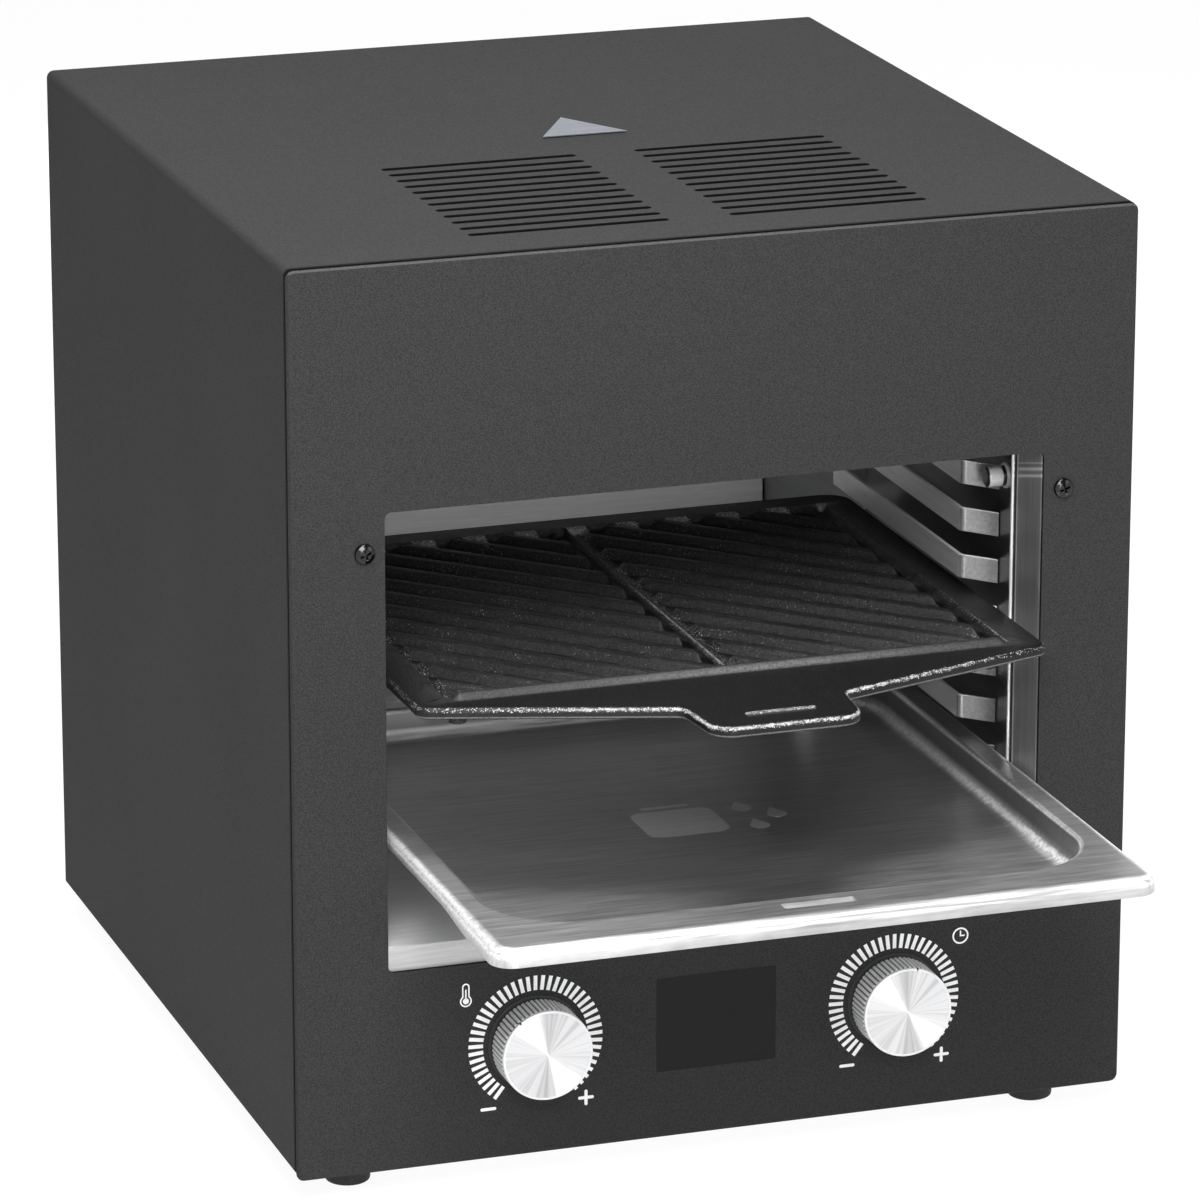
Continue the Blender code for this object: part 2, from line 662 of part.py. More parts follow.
def make_rear_panel(body):
    half = CASE_INSIDE - SEAT_GAP
    high = CASE_HEIGHT - CASE_SHEET - SEAT_GAP
    outline = rounded_rectangle(-half, half, SEAT_GAP, high, CASE_BEND - CASE_SHEET)
    rear = add_piece("rear_panel", prism(outline, "Y", REAR_INNER, REAR_OUTER), BLACK_COAT, body)
    inlet_width = INLET_WIDTH + 2 * HOLE_CLEARANCE
    inlet_height = INLET_HEIGHT + 2 * HOLE_CLEARANCE
    holes = [centred_rectangle(INLET_X, INLET_LEVEL, inlet_width, inlet_height)]
    vent_x = REAR_VENT_FROM_SIDE - CASE_WIDTH / 2
    for i in range(REAR_VENT_COUNT):
        z = REAR_VENT_LOW + i * REAR_VENT_PITCH
        vent = (vent_x, z, REAR_VENT_LENGTH, REAR_VENT_WIDTH, REAR_VENT_WIDTH / 2)
        holes.append(centred_rectangle(*vent, steps=2))
    cuts = [prism(hole, "Y", REAR_INNER - OVERRUN, REAR_OUTER + OVERRUN) for hole in holes]
    combine(rear, cuts, "DIFFERENCE")


def make_cavity_walls(body):
    for side, name in ((-1, "cavity_wall_left"), (1, "cavity_wall_right")):
        path = [
            (WALL_X, FLOOR_LOW, 0),
            (WALL_X, CAVITY_CEILING, CAVITY_SHEET),
            (WALL_X + CAVITY_FLANGE, CAVITY_CEILING, 0),
        ]
        outline = sided(side, sheet_outline(rounded_path(path), -CAVITY_SHEET))
        wall = add_piece(name, prism(outline, "Y", WALL_FRONT, CAVITY_END), BARE_STEEL, body)
        hole = circle(BOLT_DEPTH, BOLT_LEVEL, BOLT_SHANK_RADIUS + HOLE_CLEARANCE, SMALL_SIDES)
        ends = sorted((side * (WALL_X - OVERRUN), side * (WALL_X + CAVITY_SHEET + OVERRUN)))
        combine(wall, [prism(hole, "X", *ends)], "DIFFERENCE")


def make_cavity_floor(body):
    front_half = JAMB_X - SEAT_GAP
    half = WALL_X - SEAT_GAP
    plan = [
        (-front_half, PANEL_REAR),
        (front_half, PANEL_REAR),
        (front_half, WALL_FRONT),
        (half, WALL_FRONT),
        (half, CAVITY_END),
        (-half, CAVITY_END),
        (-half, WALL_FRONT),
        (-front_half, WALL_FRONT),
    ]
    rings = prism(plan, "Z", CAVITY_FLOOR - CAVITY_SHEET, CAVITY_FLOOR)
    floor = add_piece("cavity_floor", rings, BARE_STEEL, body)
    skirt = block(
        (-front_half, PANEL_REAR, FLOOR_LOW),
        (front_half, PANEL_REAR + CAVITY_SHEET, CAVITY_FLOOR - CAVITY_SHEET / 2),
    )
    combine(floor, [skirt], "UNION")


def make_cavity_back_wall(body):
    half = WALL_X - SEAT_GAP
    path = [
        (-half, CAVITY_END, 0),
        (-half, CAVITY_BACK, CAVITY_SHEET),
        (half, CAVITY_BACK, CAVITY_SHEET),
        (half, CAVITY_END, 0),
    ]
    outline = sheet_outline(rounded_path(path), CAVITY_SHEET)
    rings = prism(outline, "Z", CAVITY_FLOOR + SEAT_GAP, CAVITY_CEILING)
    wall = add_piece("cavity_back_wall", rings, BARE_STEEL, body)
    hole = circle(*probe_place(), PROBE_RADIUS + HOLE_CLEARANCE, SMALL_SIDES)
    cut = prism(hole, "Y", CAVITY_BACK - OVERRUN, CAVITY_BACK + CAVITY_SHEET + OVERRUN)
    combine(wall, [cut], "DIFFERENCE")


def make_jambs(body):
    for side, name in ((-1, "jamb_left"), (1, "jamb_right")):
        path = [
            (JAMB_X + JAMB_FRONT_FLANGE, PANEL_REAR, 0),
            (JAMB_X, PANEL_REAR, JAMB_BEND),
            (JAMB_X, JAMB_REAR, JAMB_BEND),
            (JAMB_X + JAMB_BACK_FLANGE, JAMB_REAR, 0),
        ]
        outline = sided(side, sheet_outline(rounded_path(path), -CAVITY_SHEET))
        jamb = add_piece(name, prism(outline, "Z", FLOOR_LOW, CAVITY_CEILING), BARE_STEEL, body)
        x = side * (JAMB_X + SCREW_OFFSET)
        hole = circle(x, SCREW_LEVEL, SCREW_SHANK_RADIUS + HOLE_CLEARANCE, SMALL_SIDES)
        cut = prism(hole, "Y", PANEL_REAR - OVERRUN, PANEL_REAR + CAVITY_SHEET + OVERRUN)
        combine(jamb, [cut], "DIFFERENCE")


def make_rails(body):
    """Each rail is a strip on edge whose ends bend out to the wall, their edges dropping as they go."""
    leg_end = WALL_X - SEAT_GAP
    path = rounded_path(
        [
            (leg_end, RAIL_FRONT - RAIL_LEG_SPREAD, 0),
            (RAIL_X, RAIL_FRONT, RAIL_BEND),
            (RAIL_X, RAIL_FRONT + RAIL_LENGTH, RAIL_BEND),
            (leg_end, RAIL_FRONT + RAIL_LENGTH + RAIL_LEG_SPREAD, 0),
        ]
    )
    outline = sheet_outline(path, -RAIL_SHEET)
    count = len(path)
    # The legs' upper edges drop outwards just enough to clear the tray's side lips.
    rail_back = RAIL_X + RAIL_SHEET
    fall = RAIL_FIRST_TOP - TRAY_LIP_LOW + SEAT_GAP
    slope = fall / (TRAY_RIM_X + TRAY_EDGE_BEND - TRAY_SHEET - rail_back)
    for side, word in ((-1, "left"), (1, "right")):
        for level in range(RAIL_COUNT):
            top = RAIL_FIRST_TOP + level * RAIL_PITCH
            rings = []
            for i in range(count):
                near, far = outline[i], outline[2 * count - 1 - i]
                high = top - slope * max(near[0] - rail_back, 0)
                low = high - RAIL_HEIGHT
                rings.append(
                    [
                        Vector((side * near[0], near[1], low)),
                        Vector((side * near[0], near[1], high)),
                        Vector((side * far[0], far[1], high)),
                        Vector((side * far[0], far[1], low)),
                    ]
                )
            place = Vector((side * RAIL_X, RAIL_FRONT, top))
            add_piece(f"rail_{word}_{level + 1}", rings, BARE_STEEL, body, place)


def make_rack_bolts(body):
    for side, name in ((-1, "rack_bolt_left"), (1, "rack_bolt_right")):
        seat = WALL_X - SEAT_GAP
        neck = seat - BOLT_COLLAR_HEIGHT
        profile = [
            (BOLT_RADIUS - BOLT_EDGE, neck - BOLT_LENGTH),
            (BOLT_RADIUS, neck - BOLT_LENGTH + BOLT_EDGE),
            (BOLT_RADIUS, neck),
            (BOLT_COLLAR_RADIUS, neck),
            (BOLT_COLLAR_RADIUS, seat),
            (BOLT_SHANK_RADIUS, seat),
            (BOLT_SHANK_RADIUS, seat + BOLT_SHANK_LENGTH),
        ]
        profile = [(radius, side * x) for radius, x in profile]
        rings = turned(profile, "X", BOLT_DEPTH, BOLT_LEVEL, SMALL_SIDES)
        place = Vector((side * WALL_X, BOLT_DEPTH, BOLT_LEVEL))
        add_piece(name, rings, POLISHED_STEEL, body, place, smooth=True)


def heat_opening(spread, corner):
    """The outline of the heat opening, or of one that is larger all round by the spread."""
    half = WALL_X - HEAT_SIDE_MARGIN + spread
    front = HEAT_FRONT_MARGIN + PANEL_REAR - spread
    rear = CAVITY_BACK - HEAT_REAR_MARGIN + spread
    return rounded_rectangle(-half, half, front, rear, corner)


def make_ceiling(body):
    half = WALL_X + CEILING_OVERHANG
    plan = rounded_rectangle(-half, half, PANEL_REAR, CAVITY_BACK + CEILING_END)
    ceiling = add_piece("cavity_ceiling", prism(plan, "Z", CEILING_BOTTOM, CEILING_TOP), BARE_STEEL, body)
    cut = prism(heat_opening(0, HEAT_CORNER), "Z", CEILING_BOTTOM - OVERRUN, CEILING_TOP + OVERRUN)
    combine(ceiling, [cut], "DIFFERENCE")


def make_reflector_hood(body):
    inner_top = HOOD_TOP - CAVITY_SHEET
    outer_corner = HOOD_CORNER + CAVITY_SHEET
    flange_corner = outer_corner + HOOD_FLANGE
    rings = [
        laid(heat_opening(-HOOD_LEAN, HOOD_CORNER), "Z", inner_top),
        laid(heat_opening(0, HOOD_CORNER), "Z", HOOD_BOTTOM),
        laid(heat_opening(CAVITY_SHEET + HOOD_FLANGE, flange_corner), "Z", HOOD_BOTTOM),
        laid(heat_opening(CAVITY_SHEET + HOOD_FLANGE, flange_corner), "Z", HOOD_BOTTOM + CAVITY_SHEET),
        laid(heat_opening(CAVITY_SHEET, outer_corner), "Z", HOOD_BOTTOM + CAVITY_SHEET),
        laid(heat_opening(CAVITY_SHEET - HOOD_LEAN, outer_corner), "Z", HOOD_TOP),
    ]
    add_piece("reflector_hood", rings, POLISHED_STEEL, body)


def tube_places():
    first = PANEL_REAR + HEAT_FRONT_MARGIN + TUBE_END_MARGIN
    last = CAVITY_BACK - HEAT_REAR_MARGIN - TUBE_END_MARGIN
    return [first + (last - first) * i / (TUBE_COUNT - 1) for i in range(TUBE_COUNT)]


def tube_half_length():
    return WALL_X - HEAT_SIDE_MARGIN - HOOD_LEAN - TUBE_SIDE_MARGIN


def make_tubes(body):
    level = HOOD_BOTTOM + TUBE_LEVEL
    half = tube_half_length()
    for i, y in enumerate(tube_places()):
        rings = prism(circle(y, level, TUBE_RADIUS, SMALL_SIDES), "X", -half, half)
        place = Vector((0, y, level))
        add_piece(f"heater_tube_{i + 1}", rings, QUARTZ, body, place, smooth=True)


def make_tube_holders(body):
    level = HOOD_BOTTOM + TUBE_LEVEL
    places = tube_places()
    for side, name in ((-1, "tube_holder_left"), (1, "tube_holder_right")):
        outer = tube_half_length() - HOLDER_INSET
        low_x, high_x = sorted((side * outer, side * (outer - HOLDER_THICKNESS)))
        plate = rounded_rectangle(
            places[0] - HOLDER_MARGIN,
            places[-1] + HOLDER_MARGIN,
            level - HOLDER_DROP,
            HOOD_TOP - CAVITY_SHEET - SEAT_GAP,
        )
        holder = add_piece(name, prism(plate, "X", low_x, high_x), PALE_PLASTIC, body)
        holes = [circle(y, level, TUBE_RADIUS + HOLE_CLEARANCE, SMALL_SIDES) for y in places]
        cuts = [prism(hole, "X", low_x - OVERRUN, high_x + OVERRUN) for hole in holes]
        combine(holder, cuts, "DIFFERENCE")


def make_insulation(body):
    plan = heat_opening(-HOOD_LEAN - INSULATION_INSET, HOOD_CORNER)
    low = HOOD_TOP + SEAT_GAP
    rings = prism(plan, "Z", low, low + INSULATION_THICKNESS)
    add_piece("insulation_top", rings, MINERAL_WOOL, body)


def make_thermal_cutout(body):
    x = WALL_X + CEILING_OVERHANG - CUTOUT_INSET - CUTOUT_RADIUS
    low = CEILING_TOP + SEAT_GAP
    profile = [(CUTOUT_RADIUS, low), (CUTOUT_RADIUS, low + CUTOUT_HEIGHT)]
    rings = turned(profile, "Z", x, CUTOUT_DEPTH, SMALL_SIDES)
    add_piece("thermal_cutout", rings, BLACK_PLASTIC, body, Vector((x, CUTOUT_DEPTH, low)), smooth=True)


def probe_place():
    return WALL_X - PROBE_FROM_WALL, CAVITY_CEILING - PROBE_BELOW_CEILING


def make_temperature_probe(body):
    collar = CAVITY_BACK + CAVITY_SHEET + SEAT_GAP
    profile = [
        (PROBE_RADIUS, CAVITY_BACK - PROBE_REACH),
        (PROBE_RADIUS, collar),
        (PROBE_COLLAR_RADIUS, collar),
        (PROBE_COLLAR_RADIUS, collar + PROBE_COLLAR_HEIGHT),
        (PROBE_RADIUS, collar + PROBE_COLLAR_HEIGHT),
        (PROBE_RADIUS, CAVITY_BACK + PROBE_TAIL),
    ]
    x, z = probe_place()
    rings = turned(profile, "Y", x, z, SMALL_SIDES)
    place = Vector((x, CAVITY_BACK, z))
    add_piece("temperature_probe", rings, POLISHED_STEEL, body, place, smooth=True)


def knob_ring(x, level, radius, flute_depth=0):
    """A ring of the knob, every other point drawn in by the flutes' depth."""
    outer = circle(x, KNOB_LEVEL, radius, 2 * KNOB_FLUTES)
    inner = circle(x, KNOB_LEVEL, radius - flute_depth, 2 * KNOB_FLUTES)
    points = [outer[i] if i % 2 else inner[i] for i in range(2 * KNOB_FLUTES)]
    return laid(points, "Y", level)


def make_knobs(body):
    """Each knob turns with its shaft, about an axis square to the panel."""
    back = -KNOB_STANDOFF
    face = -KNOB_HEIGHT
    bore = SHAFT_RADIUS + HOLE_CLEARANCE
    for side, word in ((-1, "left"), (1, "right")):
        x = side * KNOB_SPACING / 2
        place = Vector((x, 0, KNOB_LEVEL))
        rings = [
            knob_ring(x, back, KNOB_RADIUS, KNOB_FLUTE_DEPTH),
            knob_ring(x, face + KNOB_RIM, KNOB_RADIUS, KNOB_FLUTE_DEPTH),
            knob_ring(x, face + KNOB_RIM - KNOB_CHAMFER, KNOB_RADIUS),
            knob_ring(x, face + KNOB_CHAMFER, KNOB_RADIUS),
            knob_ring(x, face, KNOB_RADIUS - KNOB_CHAMFER),
        ]
        knob = add_piece(f"knob_{word}", rings, SPUN_ALUMINIUM, body, place, smooth=True)
        hole = prism(circle(x, KNOB_LEVEL, bore, ROUND_SIDES), "Y", back - KNOB_BORE_DEPTH, OVERRUN)
        combine(knob, [hole], "DIFFERENCE")

        start = back - KNOB_BORE_DEPTH + SHAFT_END_GAP
        end = BOARD_FRONT - SHAFT_END_GAP
        shaft = prism(circle(x, KNOB_LEVEL, SHAFT_RADIUS, ROUND_SIDES), "Y", start, end)
        add_piece(f"encoder_shaft_{word}", shaft, BARE_STEEL, body, place, smooth=True)


def make_encoders(body):
    for side, name in ((-1, "encoder_left"), (1, "encoder_right")):
        x = side * KNOB_SPACING / 2
        square = centred_rectangle(x, KNOB_LEVEL, ENCODER_SIDE, ENCODER_SIDE)
        rings = prism(square, "Y", PANEL_REAR, PANEL_REAR + ENCODER_DEPTH)
        encoder = add_piece(name, rings, DARK_STEEL, body, Vector((x, 0, KNOB_LEVEL)))
        hole = circle(x, KNOB_LEVEL, SHAFT_RADIUS + HOLE_CLEARANCE, ROUND_SIDES)
        cut = prism(hole, "Y", PANEL_REAR - OVERRUN, PANEL_REAR + ENCODER_DEPTH + OVERRUN)
        combine(encoder, [cut], "DIFFERENCE")


def make_display(body):
    half = WINDOW_WIDTH / 2 - SEAT_GAP
    low = WINDOW_LOW + SEAT_GAP
    high = WINDOW_HIGH - SEAT_GAP
    rear = WINDOW_RECESS + WINDOW_THICKNESS
    window = block((-half, WINDOW_RECESS, low), (half, rear, high))
    add_piece("display_window", window, BLACK_GLASS, body)
    module = block((-half, rear + SEAT_GAP, low), (half, BOARD_FRONT - SEAT_GAP, high))
    add_piece("display_module", module, BLACK_PLASTIC, body)


def board_post_places():
    x = BOARD_HALF_WIDTH - BOARD_POST_INSET
    levels = (BOARD_LOW + BOARD_POST_INSET, BOARD_HIGH - BOARD_POST_INSET)
    return [(side * x, z) for side in (-1, 1) for z in levels]


def make_control_board(body):
    rear = BOARD_FRONT + BOARD_THICKNESS
    plate = block((-BOARD_HALF_WIDTH, BOARD_FRONT, BOARD_LOW), (BOARD_HALF_WIDTH, rear, BOARD_HIGH))
    board = add_piece("control_board", plate, BOARD_GREEN, body)
    middle = (BOARD_LOW + BOARD_HIGH) / 2
    chip = block(
        (-CHIP_WIDTH / 2, rear - JOIN_DEPTH, middle - CHIP_HEIGHT / 2),
        (CHIP_WIDTH / 2, rear + CHIP_THICKNESS, middle + CHIP_HEIGHT / 2),
    )
    combine(board, [chip], "UNION")


def power_post_places():
    x = POWER_BOARD_WIDTH / 2 - POWER_BOARD_POST_INSET
    front = POWER_BOARD_FRONT + POWER_BOARD_POST_INSET
    rear = POWER_BOARD_FRONT + POWER_BOARD_DEPTH - POWER_BOARD_POST_INSET
    return [(side * x, y) for side in (-1, 1) for y in (front, rear)]


def make_power_board(body):
    low = BASE_TOP + BASE_BOSS_HEIGHT + SEAT_GAP
    high = low + BOARD_THICKNESS
    half = POWER_BOARD_WIDTH / 2
    rear = POWER_BOARD_FRONT + POWER_BOARD_DEPTH
    plate = block((-half, POWER_BOARD_FRONT, low), (half, rear, high))
    board = add_piece("power_board", plate, BOARD_GREEN, body)
    middle = (POWER_BOARD_FRONT + rear) / 2
    root = high - JOIN_DEPTH
    coil_x = half / 2
    coil = block(
        (coil_x - COIL_SIDE / 2, middle - COIL_SIDE / 2, root),
        (coil_x + COIL_SIDE / 2, middle + COIL_SIDE / 2, high + COIL_HEIGHT),
    )
    relays = []
    for side in (-1, 1):
        y = middle + side * RELAY_DEPTH
        relays.append(
            block(
                (-coil_x - RELAY_WIDTH / 2, y - RELAY_DEPTH / 2, root),
                (-coil_x + RELAY_WIDTH / 2, y + RELAY_DEPTH / 2, high + RELAY_HEIGHT),
            )
        )
    combine(board, [coil] + relays, "UNION")


def make_terminal_block(body):
    rear = REAR_INNER - TERMINAL_REAR_GAP
    front = rear - TERMINAL_DEPTH
    low = BASE_TOP + SEAT_GAP
    high = low + TERMINAL_HEIGHT
    section = [
        (front, low),
        (rear, low),
        (rear, high - TERMINAL_CHAMFER),
        (rear - TERMINAL_CHAMFER, high),
        (front + TERMINAL_CHAMFER, high),
        (front, high - TERMINAL_CHAMFER),
    ]
    left = INLET_X - TERMINAL_WIDTH / 2
    rings = prism(section, "X", left, left + TERMINAL_WIDTH)
    add_piece("terminal_block", rings, PALE_PLASTIC, body)


def make_power_inlet(body):
    seat = REAR_OUTER + SEAT_GAP
    mouth = seat + INLET_FLANGE_THICKNESS
    bottom = mouth - INLET_RECESS_DEPTH
    flange = centred_rectangle(INLET_X, INLET_LEVEL, INLET_FLANGE_WIDTH, INLET_FLANGE_HEIGHT)
    place = Vector((INLET_X, REAR_OUTER, INLET_LEVEL))
    inlet = add_piece("power_inlet", prism(flange, "Y", seat, mouth), BLACK_PLASTIC, body, place)
    shell = centred_rectangle(INLET_X, INLET_LEVEL, INLET_WIDTH, INLET_HEIGHT)
    combine(inlet, [prism(shell, "Y", seat - INLET_BODY_DEPTH, mouth - JOIN_DEPTH)], "UNION")

    # The recess has its upper corners cut off, so that a plug fits one way up.
    half = INLET_RECESS_WIDTH / 2
    high = INLET_RECESS_HEIGHT / 2
    recess = [(-half, -high), (half, -high), (half, high - INLET_RECESS_CHAMFER)]
    recess += [(half - INLET_RECESS_CHAMFER, high), (INLET_RECESS_CHAMFER - half, high)]
    recess += [(-half, high - INLET_RECESS_CHAMFER)]
    recess = [(INLET_X + u, INLET_LEVEL + v) for u, v in recess]
    combine(inlet, [prism(recess, "Y", bottom, mouth + OVERRUN)], "DIFFERENCE")
    pins = []
    for across, lift in (
        (-INLET_PIN_SPACING, INLET_LIVE_PIN_LIFT),
        (0, INLET_EARTH_PIN_LIFT),
        (INLET_PIN_SPACING, INLET_LIVE_PIN_LIFT),
    ):
        pin = (INLET_X + across, INLET_LEVEL + lift, INLET_PIN_WIDTH, INLET_PIN_HEIGHT)
        pins.append(prism(centred_rectangle(*pin), "Y", bottom - JOIN_DEPTH, bottom + INLET_PIN_LENGTH))
    combine(inlet, pins, "UNION")


def clipped(outline, limit, side):
    """The part of a convex outline where side * (u + v) is at most side * limit."""
    kept = []
    for i, here in enumerate(outline):
        before = outline[i - 1]
        over_before = side * (before[0] + before[1] - limit)
        over_here = side * (here[0] + here[1] - limit)
        if (over_before > 0) != (over_here > 0):
            share = over_before / (over_before - over_here)
            kept.append(before + (here - before) * share)
        if over_here <= 0:
            kept.append(here)
    return kept


def ridge_outlines():
    """The diagonal ridges' plans, in two fields either side of a middle channel."""
    half = PLATE_HALF_WIDTH - PLATE_WELL_INSET - PLATE_RIDGE_CHANNEL
    front = PLATE_CREST_Y
    rear = PLATE_REAR - PLATE_WELL_REAR_INSET - PLATE_RIDGE_CHANNEL
    fields = [
        rounded_rectangle(-half, PLATE_MID_X - PLATE_MID_CHANNEL, front, rear),
        rounded_rectangle(PLATE_MID_X + PLATE_MID_CHANNEL, half, front, rear),
    ]
    first = math.floor((front - half - PLATE_RIDGE_PHASE) / PLATE_RIDGE_PITCH)
    last = math.ceil((rear + half - PLATE_RIDGE_PHASE) / PLATE_RIDGE_PITCH)
    across = PLATE_RIDGE_WIDTH / 2
    outlines = []
    for field in fields:
        for i in range(first, last):
            middle = PLATE_RIDGE_PHASE + (i + 1 / 2) * PLATE_RIDGE_PITCH
            ridge = clipped(clipped(field, middle + across, 1), middle - across, -1)
            spans = [max(p[k] for p in ridge) - min(p[k] for p in ridge) for k in (0, 1)] if ridge else [0]
            if min(spans) > PLATE_RIDGE_WIDTH / 2:
                outlines.append(ridge)
    return outlines


def make_grill_plate(body):
    right = [
        (PLATE_LUG_X, PLATE_LUG_FRONT, PLATE_LUG_CORNER),
        (PLATE_NECK_X, PLATE_NECK_Y, PLATE_NECK_RADIUS),
        (PLATE_HALF_WIDTH, PLATE_FRONT_SIDE, PLATE_FRONT_CORNER),
        (PLATE_HALF_WIDTH, PLATE_REAR, PLATE_REAR_CORNER),
    ]
    corners = right + [(-x, y, radius) for x, y, radius in reversed(right)]
    outline = rounded_path(corners, closed=True)
    plate = add_piece("grill_plate", prism(outline, "Z", PLATE_UNDER, PLATE_TOP), CAST_BLACK, body)
    add_bevel(plate, PLATE_EDGE)

    inner = PLATE_HALF_WIDTH - PLATE_BODY_INSET
    pan = rounded_rectangle(
        -inner, inner, PLATE_CREST_Y, PLATE_REAR - PLATE_BODY_INSET, PLATE_BODY_CORNER
    )
    under = PLATE_UNDER - PLATE_BODY_DEPTH
    combine(plate, [prism(pan, "Z", under, PLATE_UNDER + JOIN_DEPTH)], "UNION")

    well_half = PLATE_HALF_WIDTH - PLATE_WELL_INSET
    well = rounded_rectangle(
        -well_half,
        well_half,
        PLATE_CREST_Y + PLATE_WELL_BEHIND_CREST,
        PLATE_REAR - PLATE_WELL_REAR_INSET,
        PLATE_WELL_CORNER,
    )
    well_floor = PLATE_TOP - PLATE_WELL_DEPTH
    combine(plate, [prism(well, "Z", well_floor, PLATE_TOP + OVERRUN)], "DIFFERENCE")

    ridge_top = well_floor + PLATE_RIDGE_HEIGHT
    root = well_floor - JOIN_DEPTH
    ridges = [prism(ridge, "Z", root, ridge_top) for ridge in ridge_outlines()]
    combine(plate, ridges, "UNION")

    crest_half = PLATE_CREST_WIDTH / 2
    crest_root = PLATE_TOP - JOIN_DEPTH
    crest_top = PLATE_TOP + PLATE_CREST_HEIGHT
    section = [
        (PLATE_CREST_Y - crest_half, crest_root),
        (PLATE_CREST_Y + crest_half, crest_root),
        (PLATE_CREST_Y + crest_half / 2, crest_top),
        (PLATE_CREST_Y - crest_half / 2, crest_top),
    ]
    crest = prism(section, "X", -well_half, well_half)
    bar_half = PLATE_BAR_LENGTH / 2
    bar_front = PLATE_LUG_FRONT + PLATE_BAR_SETBACK - PLATE_BAR_WIDTH / 2
    bar_top = PLATE_TOP + PLATE_BAR_HEIGHT
    bar = block((-bar_half, bar_front, crest_root), (bar_half, bar_front + PLATE_BAR_WIDTH, bar_top))
    bosses = []
    boss_x = inner - PLATE_BOSS_INSET
    for x in (-boss_x, boss_x):
        for y in (PLATE_CREST_Y + PLATE_BOSS_INSET, PLATE_REAR - PLATE_BODY_INSET - PLATE_BOSS_INSET):
            boss = circle(x, y, PLATE_BOSS_RADIUS, SMALL_SIDES)
            bosses.append(prism(boss, "Z", under - PLATE_BOSS_HEIGHT, under + JOIN_DEPTH))
    combine(plate, [crest, bar] + bosses, "UNION")


def framed(half_width, front, rear, corner, side_places):
    """A rounded rectangle's points with their outward directions, its long sides split at the places."""
    points = []
    x = half_width - corner
    turns = (
        (x, front + corner, -90, side_places),
        (x, rear - corner, 0, []),
        (-x, rear - corner, 90, side_places[::-1]),
        (-x, front + corner, 180, []),
    )
    for centre_x, centre_y, start, places in turns:
        centre = Vector((centre_x, centre_y))
        for step in range(TRAY_CORNER_STEPS + 1):
            turn = math.radians(start + 90 * step / TRAY_CORNER_STEPS)
            outward = Vector((math.cos(turn), math.sin(turn)))
            points.append((centre + outward * corner, outward))
        side = 1 if centre_x > 0 else -1
        points += [(Vector((side * half_width, y)), Vector((side, 0))) for y in places]
    return points


def tray_lip(point, outward, front):
    """How the rim's edge turns down at a point: bend's curvature and length, and the straight after it."""
    full = TRAY_EDGE_BEND * math.pi / 2
    shallow = TRAY_EDGE_BEND * math.acos(1 - TRAY_SIDE_LIP / TRAY_EDGE_BEND)
    flat = TRAY_REAR_FLANGE - 2 * TRAY_LIP_END
    to_rear = max(outward[1], 0)
    along = point[1] - front
    deep_share = min(max((TRAY_LIP_TAPER_END - along) / (TRAY_LIP_TAPER_END - TRAY_DEEP_LIP), 0), 1)
    length = full * deep_share + shallow * (1 - deep_share)
    length += (flat - length) * to_rear
    tail = TRAY_LIP_TAIL * deep_share + TRAY_LIP_END * (1 - deep_share)
    return (1 - to_rear) / TRAY_EDGE_BEND, length, tail


